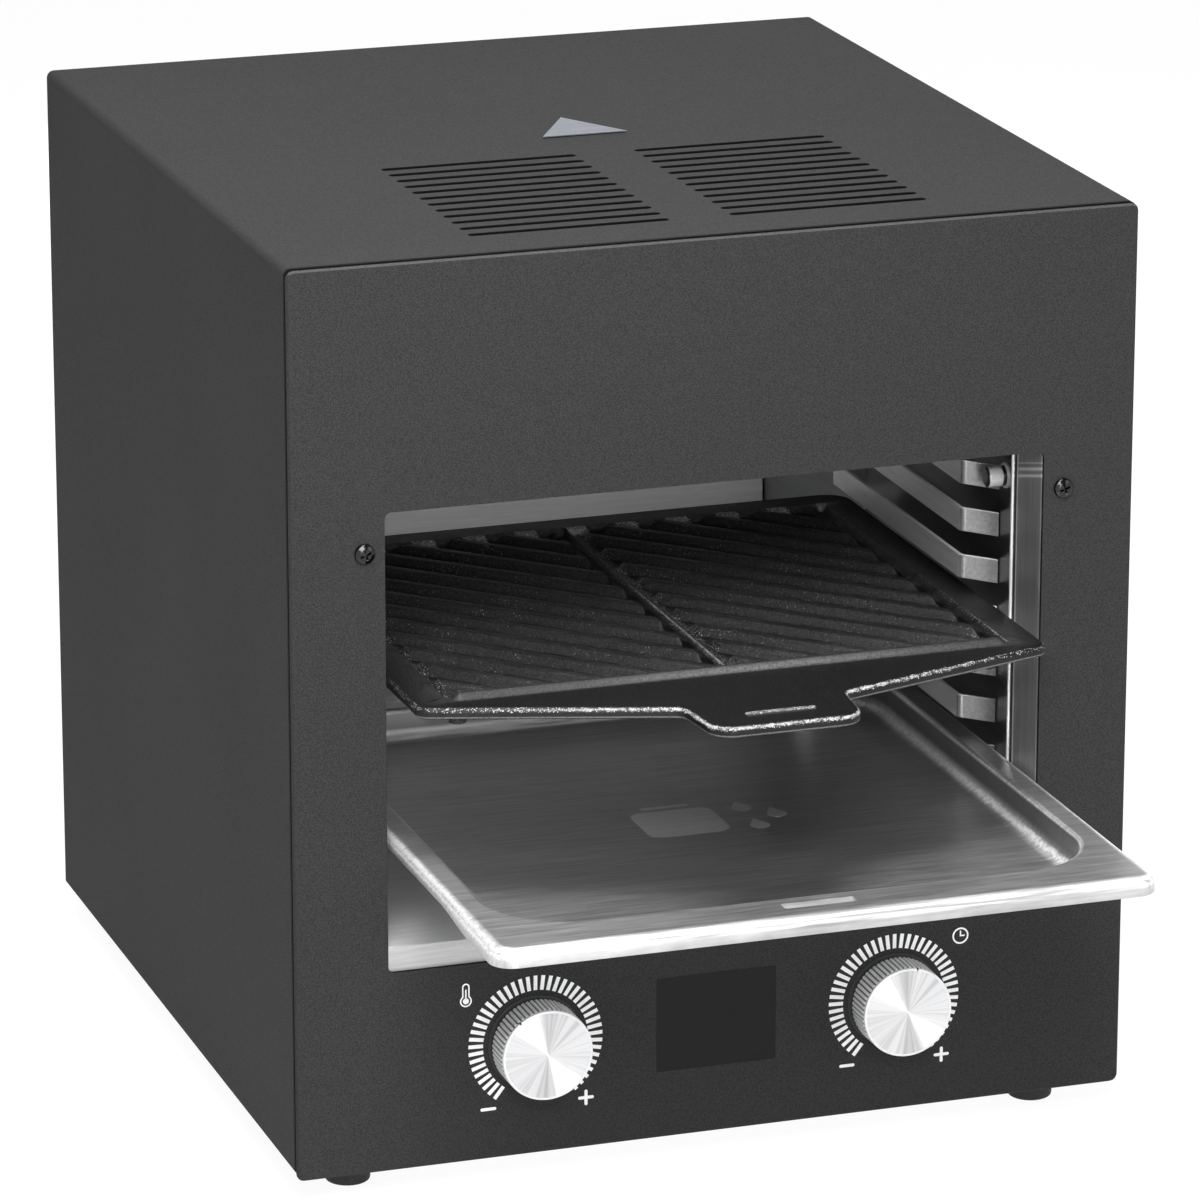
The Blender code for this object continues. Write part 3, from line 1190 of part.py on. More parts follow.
def make_drip_tray(body):
    """The tray is one closed sheet: rings from its floor over the rim to the lip, and back beneath."""
    front = -TRAY_REACH
    rim_front = front + TRAY_EDGE_BEND
    rim_rear = TRAY_REAR - TRAY_REAR_FLANGE + TRAY_LIP_END
    well_front = rim_front + TRAY_FRONT_FLAT + TRAY_SHOULDER
    well_rear = TRAY_REAR - TRAY_REAR_FLANGE - TRAY_SHOULDER
    places = [front + TRAY_DEEP_LIP, front + TRAY_LIP_TAPER_END]
    straight = (rim_front + TRAY_RIM_CORNER, rim_rear - TRAY_RIM_CORNER)
    well_straight = (well_front + TRAY_WELL_CORNER, well_rear - TRAY_WELL_CORNER)
    shares = [(y - straight[0]) / (straight[1] - straight[0]) for y in places]
    well_places = [well_straight[0] + share * (well_straight[1] - well_straight[0]) for share in shares]
    wall = framed(TRAY_WALL_X, well_front, well_rear, TRAY_WELL_CORNER, well_places)
    rim = framed(TRAY_RIM_X, rim_front, rim_rear, TRAY_RIM_CORNER, places)

    turn_level = TRAY_RIM - TRAY_SHOULDER
    upper = []
    lower = []

    def add_well_ring(reach, level, lean, rise):
        upper.append([(p + n * reach).to_3d() + Vector((0, 0, level)) for p, n in wall])
        back = reach - TRAY_SHEET * lean
        lower.append([(p + n * back).to_3d() + Vector((0, 0, level - TRAY_SHEET * rise)) for p, n in wall])

    for step in range(BEND_STEPS + 1):
        turn = math.pi / 2 * step / BEND_STEPS
        reach = TRAY_FOOT_BEND * (math.sin(turn) - 1)
        level = turn_level - TRAY_FOOT_BEND * math.cos(turn)
        add_well_ring(reach, level, -math.sin(turn), math.cos(turn))
    for step in range(1, BEND_STEPS + 1):
        turn = math.pi / 2 * step / BEND_STEPS
        reach = TRAY_SHOULDER * (1 - math.cos(turn))
        level = turn_level + TRAY_SHOULDER * math.sin(turn)
        add_well_ring(reach, level, -math.cos(turn), math.sin(turn))

    for step in range(BEND_STEPS + 2):
        ring_above = []
        ring_below = []
        for point, outward in rim:
            curvature, length, tail = tray_lip(point, outward, front)
            along = length * min(step, BEND_STEPS) / BEND_STEPS
            turn = curvature * along
            reach = math.sin(turn) / curvature if turn else along
            drop = (1 - math.cos(turn)) / curvature if turn else 0
            if step > BEND_STEPS:
                reach += tail * math.cos(turn)
                drop += tail * math.sin(turn)
            above = (point + outward * reach).to_3d() + Vector((0, 0, TRAY_RIM - drop))
            facing = outward.to_3d() * math.sin(turn) + Vector((0, 0, math.cos(turn)))
            ring_above.append(above)
            ring_below.append(above - facing * TRAY_SHEET)
        upper.append(ring_above)
        lower.append(ring_below)

    tray = add_piece("drip_tray", upper + lower[::-1], BARE_STEEL, body, smooth=True)
    slot_y = front + TRAY_SLOT_FROM_FRONT
    slot = (TRAY_SLOT_SHIFT, slot_y, TRAY_SLOT_LENGTH, TRAY_SLOT_WIDTH, TRAY_SLOT_CORNER)
    slot = centred_rectangle(*slot, steps=2)
    combine(tray, [prism(slot, "Z", TRAY_RIM - TRAY_SHEET - OVERRUN, TRAY_RIM + OVERRUN)], "DIFFERENCE")


def make_broiler():
    clear_scene()
    body = bpy.data.objects.new("broiler", None)
    bpy.context.scene.collection.objects.link(body)
    body.location = (0, (TRAY_REACH - CASE_REAR) / 2, FOOT_HEIGHT)
    for make in (
        make_wrap,
        make_top_badge,
        make_front_panel,
        make_front_screws,
        make_base_plate,
        make_feet,
        make_rear_panel,
        make_cavity_walls,
        make_cavity_floor,
        make_cavity_back_wall,
        make_jambs,
        make_rails,
        make_rack_bolts,
        make_ceiling,
        make_reflector_hood,
        make_tubes,
        make_tube_holders,
        make_insulation,
        make_thermal_cutout,
        make_temperature_probe,
        make_knobs,
        make_encoders,
        make_display,
        make_control_board,
        make_power_board,
        make_terminal_block,
        make_power_inlet,
        make_grill_plate,
        make_drip_tray,
    ):
        make(body)


make_broiler()
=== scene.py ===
import math

import bmesh
import bpy
from mathutils import Matrix, Vector
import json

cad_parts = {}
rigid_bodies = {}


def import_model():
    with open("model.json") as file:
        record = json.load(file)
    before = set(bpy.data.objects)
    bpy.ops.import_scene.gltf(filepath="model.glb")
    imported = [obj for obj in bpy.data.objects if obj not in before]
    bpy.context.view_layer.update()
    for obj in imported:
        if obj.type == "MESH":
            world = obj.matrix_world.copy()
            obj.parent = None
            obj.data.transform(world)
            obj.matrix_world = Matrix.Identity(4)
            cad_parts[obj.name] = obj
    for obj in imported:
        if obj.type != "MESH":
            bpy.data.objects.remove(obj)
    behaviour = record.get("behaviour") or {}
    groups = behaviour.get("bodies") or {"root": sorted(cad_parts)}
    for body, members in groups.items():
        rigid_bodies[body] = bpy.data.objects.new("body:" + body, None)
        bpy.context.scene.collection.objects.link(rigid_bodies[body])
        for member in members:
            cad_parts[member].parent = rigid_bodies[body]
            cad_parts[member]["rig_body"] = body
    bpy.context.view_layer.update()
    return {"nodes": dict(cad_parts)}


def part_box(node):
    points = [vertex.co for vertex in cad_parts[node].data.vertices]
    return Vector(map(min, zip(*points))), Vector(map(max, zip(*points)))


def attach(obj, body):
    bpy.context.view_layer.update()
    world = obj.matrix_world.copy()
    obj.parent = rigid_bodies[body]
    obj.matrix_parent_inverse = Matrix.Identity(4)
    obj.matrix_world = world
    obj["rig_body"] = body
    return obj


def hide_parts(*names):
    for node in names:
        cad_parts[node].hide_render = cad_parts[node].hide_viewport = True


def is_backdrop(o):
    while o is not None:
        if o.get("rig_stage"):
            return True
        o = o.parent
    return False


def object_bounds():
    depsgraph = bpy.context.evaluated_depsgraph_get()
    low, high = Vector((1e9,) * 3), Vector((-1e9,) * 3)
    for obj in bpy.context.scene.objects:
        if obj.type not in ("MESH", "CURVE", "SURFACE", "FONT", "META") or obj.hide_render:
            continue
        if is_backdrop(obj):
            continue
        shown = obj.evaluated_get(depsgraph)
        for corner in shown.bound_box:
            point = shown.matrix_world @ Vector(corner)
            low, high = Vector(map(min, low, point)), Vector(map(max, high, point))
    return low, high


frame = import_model()

# The wrap: one sheet of 1 mm steel folded over both sides and the top, with two groups of punched vent
# slots, whose walls are painted dark as shade. It is powder-coated black in a fine texture, its edges are
# just broken, and a painted shadow line darkens its front edge along the seam behind the panel.

panel_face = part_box("front_panel")[0].y
wrap_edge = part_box("wrap_casing")[0].z


def at(x, y, z):
    """A point in millimetres from the middle of the panel's face, level with the wrap's lower edge."""
    return Vector((x / 1000, panel_face + y / 1000, wrap_edge + z / 1000))


def finish(name, colour, roughness, metallic=0.0, **values):
    """A material with plain values, which its grain is added to."""
    material = bpy.data.materials.new(name)
    material.use_nodes = True
    inputs = material.node_tree.nodes["Principled BSDF"].inputs
    inputs["Base Color"].default_value = (*colour, 1)
    inputs["Roughness"].default_value = roughness
    inputs["Metallic"].default_value = metallic
    for socket, value in values.items():
        inputs[socket.replace("_", " ")].default_value = value
    return material


def add_node(owner, kind, inputs, **settings):
    """A shader node of a material or world, whose inputs are other nodes' outputs or plain values."""
    node = owner.node_tree.nodes.new("ShaderNode" + kind)
    for name, value in settings.items():
        setattr(node, name, value)
    for name, value in inputs.items():
        if isinstance(value, bpy.types.NodeSocket):
            owner.node_tree.links.new(value, node.inputs[name])
        else:
            node.inputs[name].default_value = value
    return node


def maths(owner, operation, *values):
    return add_node(owner, "Math", dict(enumerate(values)), operation=operation).outputs["Value"]


def vector_maths(owner, operation, *values):
    node = add_node(owner, "VectorMath", dict(enumerate(values)), operation=operation)
    return node.outputs["Value" if operation in ("DOT_PRODUCT", "LENGTH") else "Vector"]


def own_place(material):
    """Where a point lies in the piece's own coordinates, in metres."""
    return add_node(material, "TexCoord", {}).outputs["Object"]


def scaled_place(material, per_metre):
    """The same place with so many steps to the metre, or so many along each axis."""
    scale = [per_metre] * 3 if isinstance(per_metre, int) else per_metre
    return add_node(material, "Mapping", {"Vector": own_place(material), "Scale": scale}).outputs["Vector"]


def grain(material, per_metre, detail=2.0, warp=0.0):
    """Noise with so many grains to the metre, or so many along each axis."""
    inputs = {"Vector": scaled_place(material, per_metre), "Scale": 1.0, "Detail": detail, "Distortion": warp}
    return add_node(material, "TexNoise", inputs).outputs["Fac"]


def spread(material, value, start, end, low, high):
    """The value's span from start to end, laid out over low to high."""
    inputs = {"Value": value, "From Min": start, "From Max": end, "To Min": low, "To Max": high}
    return add_node(material, "MapRange", inputs).outputs["Result"]


def grey(level):
    return (level, level, level)


def tint(material, value, dark, pale):
    """A colour from dark to pale as the value goes from 0 to 1."""
    mix = add_node(material, "Mix", {"Factor": value}, data_type="RGBA")
    sockets = {socket.identifier: socket for socket in [*mix.inputs, *mix.outputs]}
    for name, colour in (("A_Color", dark), ("B_Color", pale)):
        if isinstance(colour, bpy.types.NodeSocket):
            material.node_tree.links.new(colour, sockets[name])
        else:
            sockets[name].default_value = (*colour, 1)
    return sockets["Result_Color"]


def recolour(material, value, dark, pale):
    feed(material, "Base Color", tint(material, value, dark, pale))


def overlay(material, value, colour):
    """Lays a colour over the material's own, as far as the value goes."""
    own = material.node_tree.nodes["Principled BSDF"].inputs["Base Color"].links[0].from_socket
    recolour(material, value, own, colour)


def feed(material, socket, value):
    shader = material.node_tree.nodes["Principled BSDF"]
    material.node_tree.links.new(value, shader.inputs[socket])


def roughen(material, value, smooth, rough):
    """Lays the roughness out over the middle of a noise."""
    feed(material, "Roughness", spread(material, value, 0.3, 0.7, smooth, rough))


def emboss(material, value, depth, over=None):
    """Raises the surface by the value, so many metres at most, over another relief if one is given."""
    inputs = {"Height": value, "Distance": depth, "Strength": 1.0}
    if over is not None:
        inputs["Normal"] = over
    normal = add_node(material, "Bump", inputs).outputs["Normal"]
    feed(material, "Normal", normal)
    return normal


def powder_coat(name, dark=0.020, pale=0.045):
    coat = finish(name, grey(pale), 0.66, IOR=1.5, Specular_IOR_Level=0.08)
    fine = grain(coat, 2100)
    recolour(coat, spread(coat, fine, 0.32, 0.68, 0, 1), grey(dark), grey(pale))
    roughen(coat, grain(coat, 7, 3.0), 0.64, 0.68)
    emboss(coat, fine, 0.00016, emboss(coat, grain(coat, 700), 0.00010))
    return coat


def along_way(material, way):
    """How far along a way a point lies, in metres."""
    return vector_maths(material, "DOT_PRODUCT", own_place(material), way)


def across_band(material, way, start, end, fade):
    """1 where a point lies between start and end along a way."""
    value = along_way(material, way)
    rise = spread(material, value, start - fade, start, 0, 1)
    fall = spread(material, value, end, end + fade, 1, 0)
    return maths(material, "MULTIPLY", rise, fall)


def mesh_of(shape, name):
    mesh = bpy.data.meshes.new(name)
    shape.to_mesh(mesh)
    shape.free()
    return mesh


def add_object(name, data):
    made = bpy.data.objects.new(name, data)
    bpy.context.scene.collection.objects.link(made)
    return made


def even_shading(piece, sharp=40):
    """Smooth shading that stops at edges sharper than an angle in degrees."""
    piece.data.set_sharp_from_angle(angle=math.radians(sharp))
    piece.modifiers.new("Even shading", "WEIGHTED_NORMAL").keep_sharp = True


def make_piece(shape, name, material, slot, body="casing", nodes=(), sharp=40):
    """Turns a drawn shape into a piece that rides on its body and may stand for nodes."""
    bmesh.ops.recalc_face_normals(shape, faces=shape.faces)
    piece = add_object(name, mesh_of(shape, name))
    piece.data.shade_smooth()
    piece.data.materials.append(material)
    even_shading(piece, sharp)
    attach(piece, body)
    if nodes:
        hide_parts(*nodes)
    return piece


def from_node(node, form, material, slot, edge=0.25, steps=2, sharper_than=30):
    """A node's own form with its triangles merged into whole faces and its edges rounded, in mm."""
    shape = bmesh.new()
    shape.from_mesh(frame["nodes"][node].data)
    bmesh.ops.remove_doubles(shape, verts=shape.verts, dist=0.000002)
    flat = math.radians(0.5)
    bmesh.ops.dissolve_limit(shape, angle_limit=flat, verts=shape.verts, edges=shape.edges)
    limit = math.radians(sharper_than)
    edges = [e for e in shape.edges if e.calc_face_angle(0) > limit]
    bmesh.ops.bevel(
        shape, geom=edges, offset=edge / 1000, segments=steps, affect="EDGES", profile=0.5, clamp_overlap=True
    )
    return make_piece(shape, f"{node}_{form}", material, slot, frame["nodes"][node]["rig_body"], [node])


def repaint(piece, materials, choose):
    """Gives a piece more materials, and each face the one that choose says, 0 for the piece's first."""
    for material in materials:
        piece.data.materials.append(material)
    for face in piece.data.polygons:
        face.material_index = choose(face)


def slot_wall(face):
    """1 for the walls of the vent slots within the top's thickness, which are painted dark as shade."""
    near_slots = abs(face.center.x) < 0.165 and panel_face + 0.02 < face.center.y < panel_face + 0.35
    return int(near_slots and face.center.z > top_level and abs(face.normal.z) < 0.98)


top_level = wrap_edge + 0.3605
coat = powder_coat("powder_coat")
# A dark copy of the coat: painted shade for the slot walls and the panel's folded edges.
shaded_coat = powder_coat("shaded_coat", 0.003, 0.006)
wrap_coat = powder_coat("wrap_coat")
# Painted shadow: a dark band along the wrap's front edge, at the seam behind the panel.
painted_seam_shadow = across_band(wrap_coat, (0, 1, 0), panel_face, panel_face + 0.0042, 0.0003)
overlay(wrap_coat, painted_seam_shadow, grey(0.004))
wrap = from_node("wrap_casing", "shell", wrap_coat, "coated_steel")
repaint(wrap, [shaded_coat], slot_wall)

# The badge: a triangle of thin brushed plate, pressed on the top behind the slots and left blank. Its
# edges are just broken.


def brushed(name, dark, pale, roughness, along, lines, relief=0.000002, metal=1.0, up=1.0):
    """Sheet or strip brushed along one axis: its fine lines, so many to the metre, spread what it
    reflects across them, and it has longer streaks and a slow change of polish."""
    steel = finish(name, pale, roughness, metal, Anisotropic=0.6)
    way = [0.0, 0.0, 0.004] if along < 2 else [0.004, 0.0, 0.0]
    way[along] = 1.0
    facing = add_node(steel, "NewGeometry", {}).outputs["Normal"]
    feed(steel, "Tangent", vector_maths(steel, "CROSS_PRODUCT", facing, way))
    patterns = []
    for fineness, length, detail in ((lines, lines / 22, 3.0), (lines / 3, lines / 90, 2.0)):
        stretch = [fineness, fineness, fineness * up]
        stretch[along] = length
        patterns.append(grain(steel, stretch, detail))
    both = maths(steel, "ADD", *patterns)
    recolour(steel, spread(steel, both, 0.75, 1.25, 0, 1), dark, pale)
    wear = maths(steel, "ADD", both, grain(steel, 6))
    feed(steel, "Roughness", spread(steel, wear, 1.0, 2.0, roughness - 0.06, roughness + 0.06))
    emboss(steel, both, relief)
    return steel


badge_steel = brushed("badge_steel", (0.33, 0.365, 0.41), (0.45, 0.49, 0.535), 0.34, 0, 1800)
from_node("top_badge", "plate", badge_steel, "badge", 0.12)

# The front panel: one powder-coated plate with folded edges, cut out for the cavity, the display and the
# two controls. Scales and signs are screen-printed on it in white.


def panel_coat(face):
    """1 for the folded edges and cut-outs, painted as shade, 2 for the upper bend, painted paler as a
    highlight.
    """
    if abs(face.normal.y) < 0.2:
        return 1
    return 2 if -0.98 < face.normal.y < 0 and face.center.z > top_level else 0


# A paler copy of the coat: a painted highlight along the panel's upper bend.
thin_coat = powder_coat("thin_coat", 0.045, 0.075)
panel = from_node("front_panel", "plate", coat, "coated_steel", 0.45, 3)
repaint(panel, [shaded_coat, thin_coat], panel_coat)


def outline(corners, steps, closed=True):
    """Points of an outline through (u, v, radius) corners, each rounded by its radius."""
    points = []
    last = len(corners) - 1
    for i, (u, v, radius) in enumerate(corners):
        here = Vector((u, v))
        if not radius or (not closed and i in (0, last)):
            points.append(here)
            continue
        before = (Vector(corners[i - 1][:2]) - here).normalized()
        after = (Vector(corners[(i + 1) % (last + 1)][:2]) - here).normalized()
        half = before.angle(after) / 2
        centre = here + (before + after).normalized() * (radius / math.sin(half))
        start = here + before * (radius / math.tan(half)) - centre
        end = here + after * (radius / math.tan(half)) - centre
        turn = math.atan2(start.cross(end), start.dot(end))
        points += [centre + Matrix.Rotation(turn * s / steps, 2) @ start for s in range(steps + 1)]
    return [p for i, p in enumerate(points) if (p - points[i - 1]).length > 1e-6]


def rectangle(u, v, width, height, radius):
    ways = ((-1, -1), (1, -1), (1, 1), (-1, 1))
    return outline([(u + i * width / 2, v + j * height / 2, radius) for i, j in ways], 6)


def arc(u, v, radius, start, end, steps):
    """Points on an arc, its angles in degrees clockwise from the top."""
    turns = [math.radians(start + (end - start) * i / steps) for i in range(steps + 1)]
    return [Vector((u + radius * math.sin(t), v + radius * math.cos(t))) for t in turns]


def join_rows(shape, rows):
    for row, following in zip(rows, rows[1:]):
        for i in range(len(row)):
            shape.faces.new((row[i - 1], row[i], following[i], following[i - 1]))


def loft(shape, rings):
    """Closed skin through rings that have the same number of points."""
    rows = [[shape.verts.new(p) for p in ring] for ring in rings]
    join_rows(shape, rows)
    shape.faces.new(rows[0])
    shape.faces.new(rows[-1])


PRINT_HEIGHT = 0.04


def add_line(shape, points, width, closed=False):
    """A printed line with mitred bends and square ends, drawn as a thin raised strip on the panel."""
    count = len(points)
    left, right = [], []
    for i, point in enumerate(points):
        before = points[i - 1] if closed or i else None
        after = points[(i + 1) % count] if closed or i < count - 1 else None
        along = [(point - before).normalized()] if before is not None else []
        along += [(after - point).normalized()] if after is not None else []
        middle = sum(along, Vector((0, 0))).normalized()
        side = middle.orthogonal() * (width / 2 / max(0.3, middle.dot(along[0])))
        left.append(point + side)
        right.append(point - side)
    sides = [left, right]
    rows = []
    for y in (0, -PRINT_HEIGHT):
        rows.append([[shape.verts.new(at(p.x, y, p.y)) for p in side] for side in sides])
    for i in range(count if closed else count - 1):
        j = (i + 1) % count
        (bl, br), (fl, fr) = rows
        shape.faces.new((fl[i], fl[j], fr[j], fr[i]))
        shape.faces.new((bl[i], bl[j], fl[j], fl[i]))
        shape.faces.new((br[i], fr[i], fr[j], br[j]))
    if not closed:
        for i in (0, -1):
            shape.faces.new((rows[0][0][i], rows[1][0][i], rows[1][1][i], rows[0][1][i]))


def add_spot(shape, points):
    """A printed area, drawn as a thin raised patch on the panel."""
    loft(shape, [[at(p.x, y, p.y) for p in points] for y in (0, -PRINT_HEIGHT)])


def capsule(start, end, width):
    """The outline of a short stroke with round ends."""
    start, end, radius = Vector(start), Vector(end), width / 2
    along = math.degrees(math.atan2((end - start).x, (end - start).y))
    return arc(*end, radius, along - 90, along + 90, 8) + arc(*start, radius, along + 90, along + 270, 8)


KNOB_X, KNOB_Z = 75, 43.5
SCALE_LINES, SCALE_SWEEP = 43, 284
SIGN_Z = 17.7

ink = finish("white_ink", grey(0.80), 0.55)
ink_grain = grain(ink, 2500)
recolour(ink, spread(ink, ink_grain, 0.3, 0.7, 0, 1), grey(0.90), grey(0.98))
roughen(ink, ink_grain, 0.45, 0.65)
emboss(ink, ink_grain, 0.00002)

for side, word, minus_x, plus_x in ((-1, "left", -94.5, -54.2), (1, "right", 55.4, 95.7)):
    scale = bmesh.new()
    middle = Vector((side * KNOB_X, KNOB_Z))
    for i in range(SCALE_LINES):
        turn = math.radians(SCALE_SWEEP * (i / (SCALE_LINES - 1) - 0.5))
        out = Vector((math.sin(turn), math.cos(turn)))
        add_line(scale, [middle + out * 21.6, middle + out * 27.6], 1.55)
    add_spot(scale, capsule((minus_x - 2.6, SIGN_Z), (minus_x + 2.6, SIGN_Z), 1.3))
    arm = [(0.65, 0.65, 0), (0.65, 3.25, 0.62), (-0.65, 3.25, 0.62)]
    plus = []
    for cos, sin in ((1, 0), (0, 1), (-1, 0), (0, -1)):
        plus += [(plus_x + u * cos - v * sin, SIGN_Z + u * sin + v * cos, radius) for u, v, radius in arm]
    add_spot(scale, outline(plus, 4))
    make_piece(scale, f"scale_{word}", ink, "printed_marks")

thermometer = bmesh.new()
stem = arc(-103.5, 69.6, 1.25, -90, 90, 8) + [Vector((-102.25, 65.6))]
stem += arc(-103.5, 63.8, 2.15, 36, 324, 20) + [Vector((-104.75, 65.6))]
add_line(thermometer, stem, 0.55, closed=True)
add_spot(thermometer, arc(-103.5, 63.8, 1.25, 0, 342, 19))
add_line(thermometer, [Vector((-103.5, 64.4)), Vector((-103.5, 68.6))], 0.6)
make_piece(thermometer, "thermometer_sign", ink, "printed_marks")

clock = bmesh.new()
add_line(clock, arc(103.1, 67.2, 3.1, 0, 350, 35), 0.7, closed=True)
add_line(clock, [Vector((103.1, 69.3)), Vector((103.1, 67.2)), Vector((104.9, 67.2))], 0.6)
make_piece(clock, "clock_sign", ink, "printed_marks")

# The display: a smoked acrylic window in the panel, over a dark module on the control board. A thin dark
# film is laid over the window and its edge, and the display is off, so it shows as one even dark field.


def loft_piece(rings, *about):
    """A piece with a closed skin through rings; the rest says what make_piece needs."""
    shape = bmesh.new()
    loft(shape, rings)
    return make_piece(shape, *about)


smoked = finish("smoked_acrylic", grey(0.012), 0.40, IOR=1.49, Specular_IOR_Level=0.15)
roughen(smoked, grain(smoked, 30, 3.0), 0.36, 0.46)
recolour(smoked, grain(smoked, 900), grey(0.008), grey(0.011))
emboss(smoked, grain(smoked, 1500), 0.000004)
from_node("display_window", "pane", smoked, "display_window", 0.2)
low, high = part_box("display_window")
middle, size = (low + high) / 2 * 1000, (high - low) * 1000
overlap = 1.2
edge = rectangle(middle.x, middle.z - wrap_edge * 1000, size.x + overlap, size.z + overlap, 0.7)
film = [[at(p.x, y, p.y) for p in edge] for y in (0, -0.12)]
loft_piece(film, "display_film", smoked, "display_window")

# The two front screws: pan-head machine screws in dark nickel, with a crossed recess, through the panel
# and the jambs' front flanges.


def grained(name, per_metre, dark, pale, smooth, rough, relief, detail=2.0, warp=0.0, **values):
    """A material with one grain, which varies its colour and roughness and raises its surface."""
    material = finish(name, pale, rough, **values)
    pattern = grain(material, per_metre, detail, warp)
    recolour(material, pattern, dark, pale)
    roughen(material, pattern, smooth, rough)
    emboss(material, pattern, relief)
    return material


def turned(profile, centre, axis, sides=64):
    """Rings of a body turned about an axis through the centre: (radius, level) pairs in mm."""
    ways = [Vector((1, 0, 0)), Vector((0, 1, 0)), Vector((0, 0, 1))]
    forward = ways.pop("XYZ".index(axis))
    turns = [2 * math.pi * i / sides for i in range(sides)]
    circle = [ways[0] * math.cos(t) + ways[1] * math.sin(t) for t in turns]
    rings = []
    for radius, level in profile:
        rings.append([centre + p * (radius / 1000) + forward * (level / 1000) for p in circle])
    return rings


def rounded_profile(corners):
    """(radius, level) pairs with the corners that have a third value rounded by it."""
    corners = [(*c, 0) if len(c) == 2 else c for c in corners]
    return [tuple(p) for p in outline(corners, 4, closed=False)]


def cut(piece, rings):
    """Cuts a closed form out of a piece."""
    shape = bmesh.new()
    loft(shape, rings)
    bmesh.ops.recalc_face_normals(shape, faces=shape.faces)
    cutter = add_object("cutter", mesh_of(shape, "cutter"))
    piece.modifiers.remove(piece.modifiers["Even shading"])
    boolean = piece.modifiers.new("Cut", "BOOLEAN")
    boolean.operation = "DIFFERENCE"
    boolean.object = cutter
    graph = bpy.context.evaluated_depsgraph_get()
    made = bpy.data.meshes.new_from_object(piece.evaluated_get(graph))
    piece.modifiers.remove(boolean)
    piece.data = made
    bpy.data.objects.remove(cutter)
    even_shading(piece)


def cross_recess(screw, centre, angle, levels):
    """Cuts a crossed recess into a screw: (level, half length, half width) in mm, outside and inside."""
    for turn in (angle, angle + 90):
        recess = []
        for level, half, wide in levels:
            corners = [(-half, -wide), (half, -wide), (half, wide), (-half, wide)]
            corners = [Matrix.Rotation(math.radians(turn), 2) @ Vector(c) for c in corners]
            recess.append([centre + Vector((c.x, level, c.y)) / 1000 for c in corners])
        cut(screw, recess)


dark_nickel = grained(
    "dark_nickel", 900, (0.025, 0.025, 0.026), (0.06, 0.06, 0.062), 0.10, 0.22, 0.00003, 3.0, metallic=1.0
)
SIDES = ((-1, "left"), (1, "right"))
head = [(0.02, -2.5), (2.2, -2.45, 1.0), (4.0, -1.5, 0.9), (4.0, -0.3, 0.1), (1.9, -0.3)]
head = rounded_profile(head + [(1.9, 8.5), (1.2, 8.7)])
for side, word in SIDES:
    centre = at(side * 143, 0, 249.2)
    rings = turned(head, centre, "Y", 48)
    name = f"front_screw_{word}"
    screw = loft_piece(rings, f"{name}_turned", dark_nickel, "dark_screws", "casing", [name])
    cross_recess(screw, centre, 20, ((-3.0, 2.6, 0.52), (-1.1, 1.3, 0.30)))

# The knobs: turned aluminium with a fluted grip, whose hollows are painted dark as shade, a smooth rim and
# a spun face. Each is pushed on its encoder's shaft; a thin black ring on the panel round its base is
# painted shadow, and a dark notch in its rim shows where it points.

FLUTE = (0, 0, 0, 0, 0, 0.6, 1, 0.6)
RING_POINTS = 60 * len(FLUTE)


def knob_ring(centre, radius, level, depth):
    """A ring of 60 flutes, their hollows drawn in by a depth."""
    points = []
    for i in range(RING_POINTS):
        turn = 2 * math.pi * i / RING_POINTS
        inner = radius - depth * FLUTE[i % len(FLUTE)]
        points.append(centre + Vector((inner * math.cos(turn), level, inner * math.sin(turn))) / 1000)
    return points


def painted(material, name):
    """A value that is painted on the shape's points."""
    return add_node(material, "Attribute", {}, attribute_name=name).outputs["Fac"]


def line_noise(material, value, per_metre):
    """Noise that changes with one value only."""
    inputs = {"W": value, "Scale": per_metre, "Detail": 3.0}
    return add_node(material, "TexNoise", inputs, noise_dimensions="1D").outputs["Fac"]


grip_metal = finish("turned_aluminium", (0.80, 0.80, 0.81), 0.42, 0.3)
grip_grain = grain(grip_metal, (1200, 3000, 1200), 3.0)
recolour(grip_metal, grip_grain, (0.86, 0.86, 0.87), (0.96, 0.96, 0.97))
# Painted shade: the flutes' hollows are darkened to near-black.
overlay(grip_metal, painted(grip_metal, "hollow"), (0.045, 0.045, 0.046))
roughen(grip_metal, grip_grain, 0.38, 0.46)
emboss(grip_metal, grip_grain, 0.000001)

notch_and_shadow_ink = finish("notch_black", grey(0.02), 0.5)
emboss(notch_and_shadow_ink, grain(notch_and_shadow_ink, 2000), 0.00001)

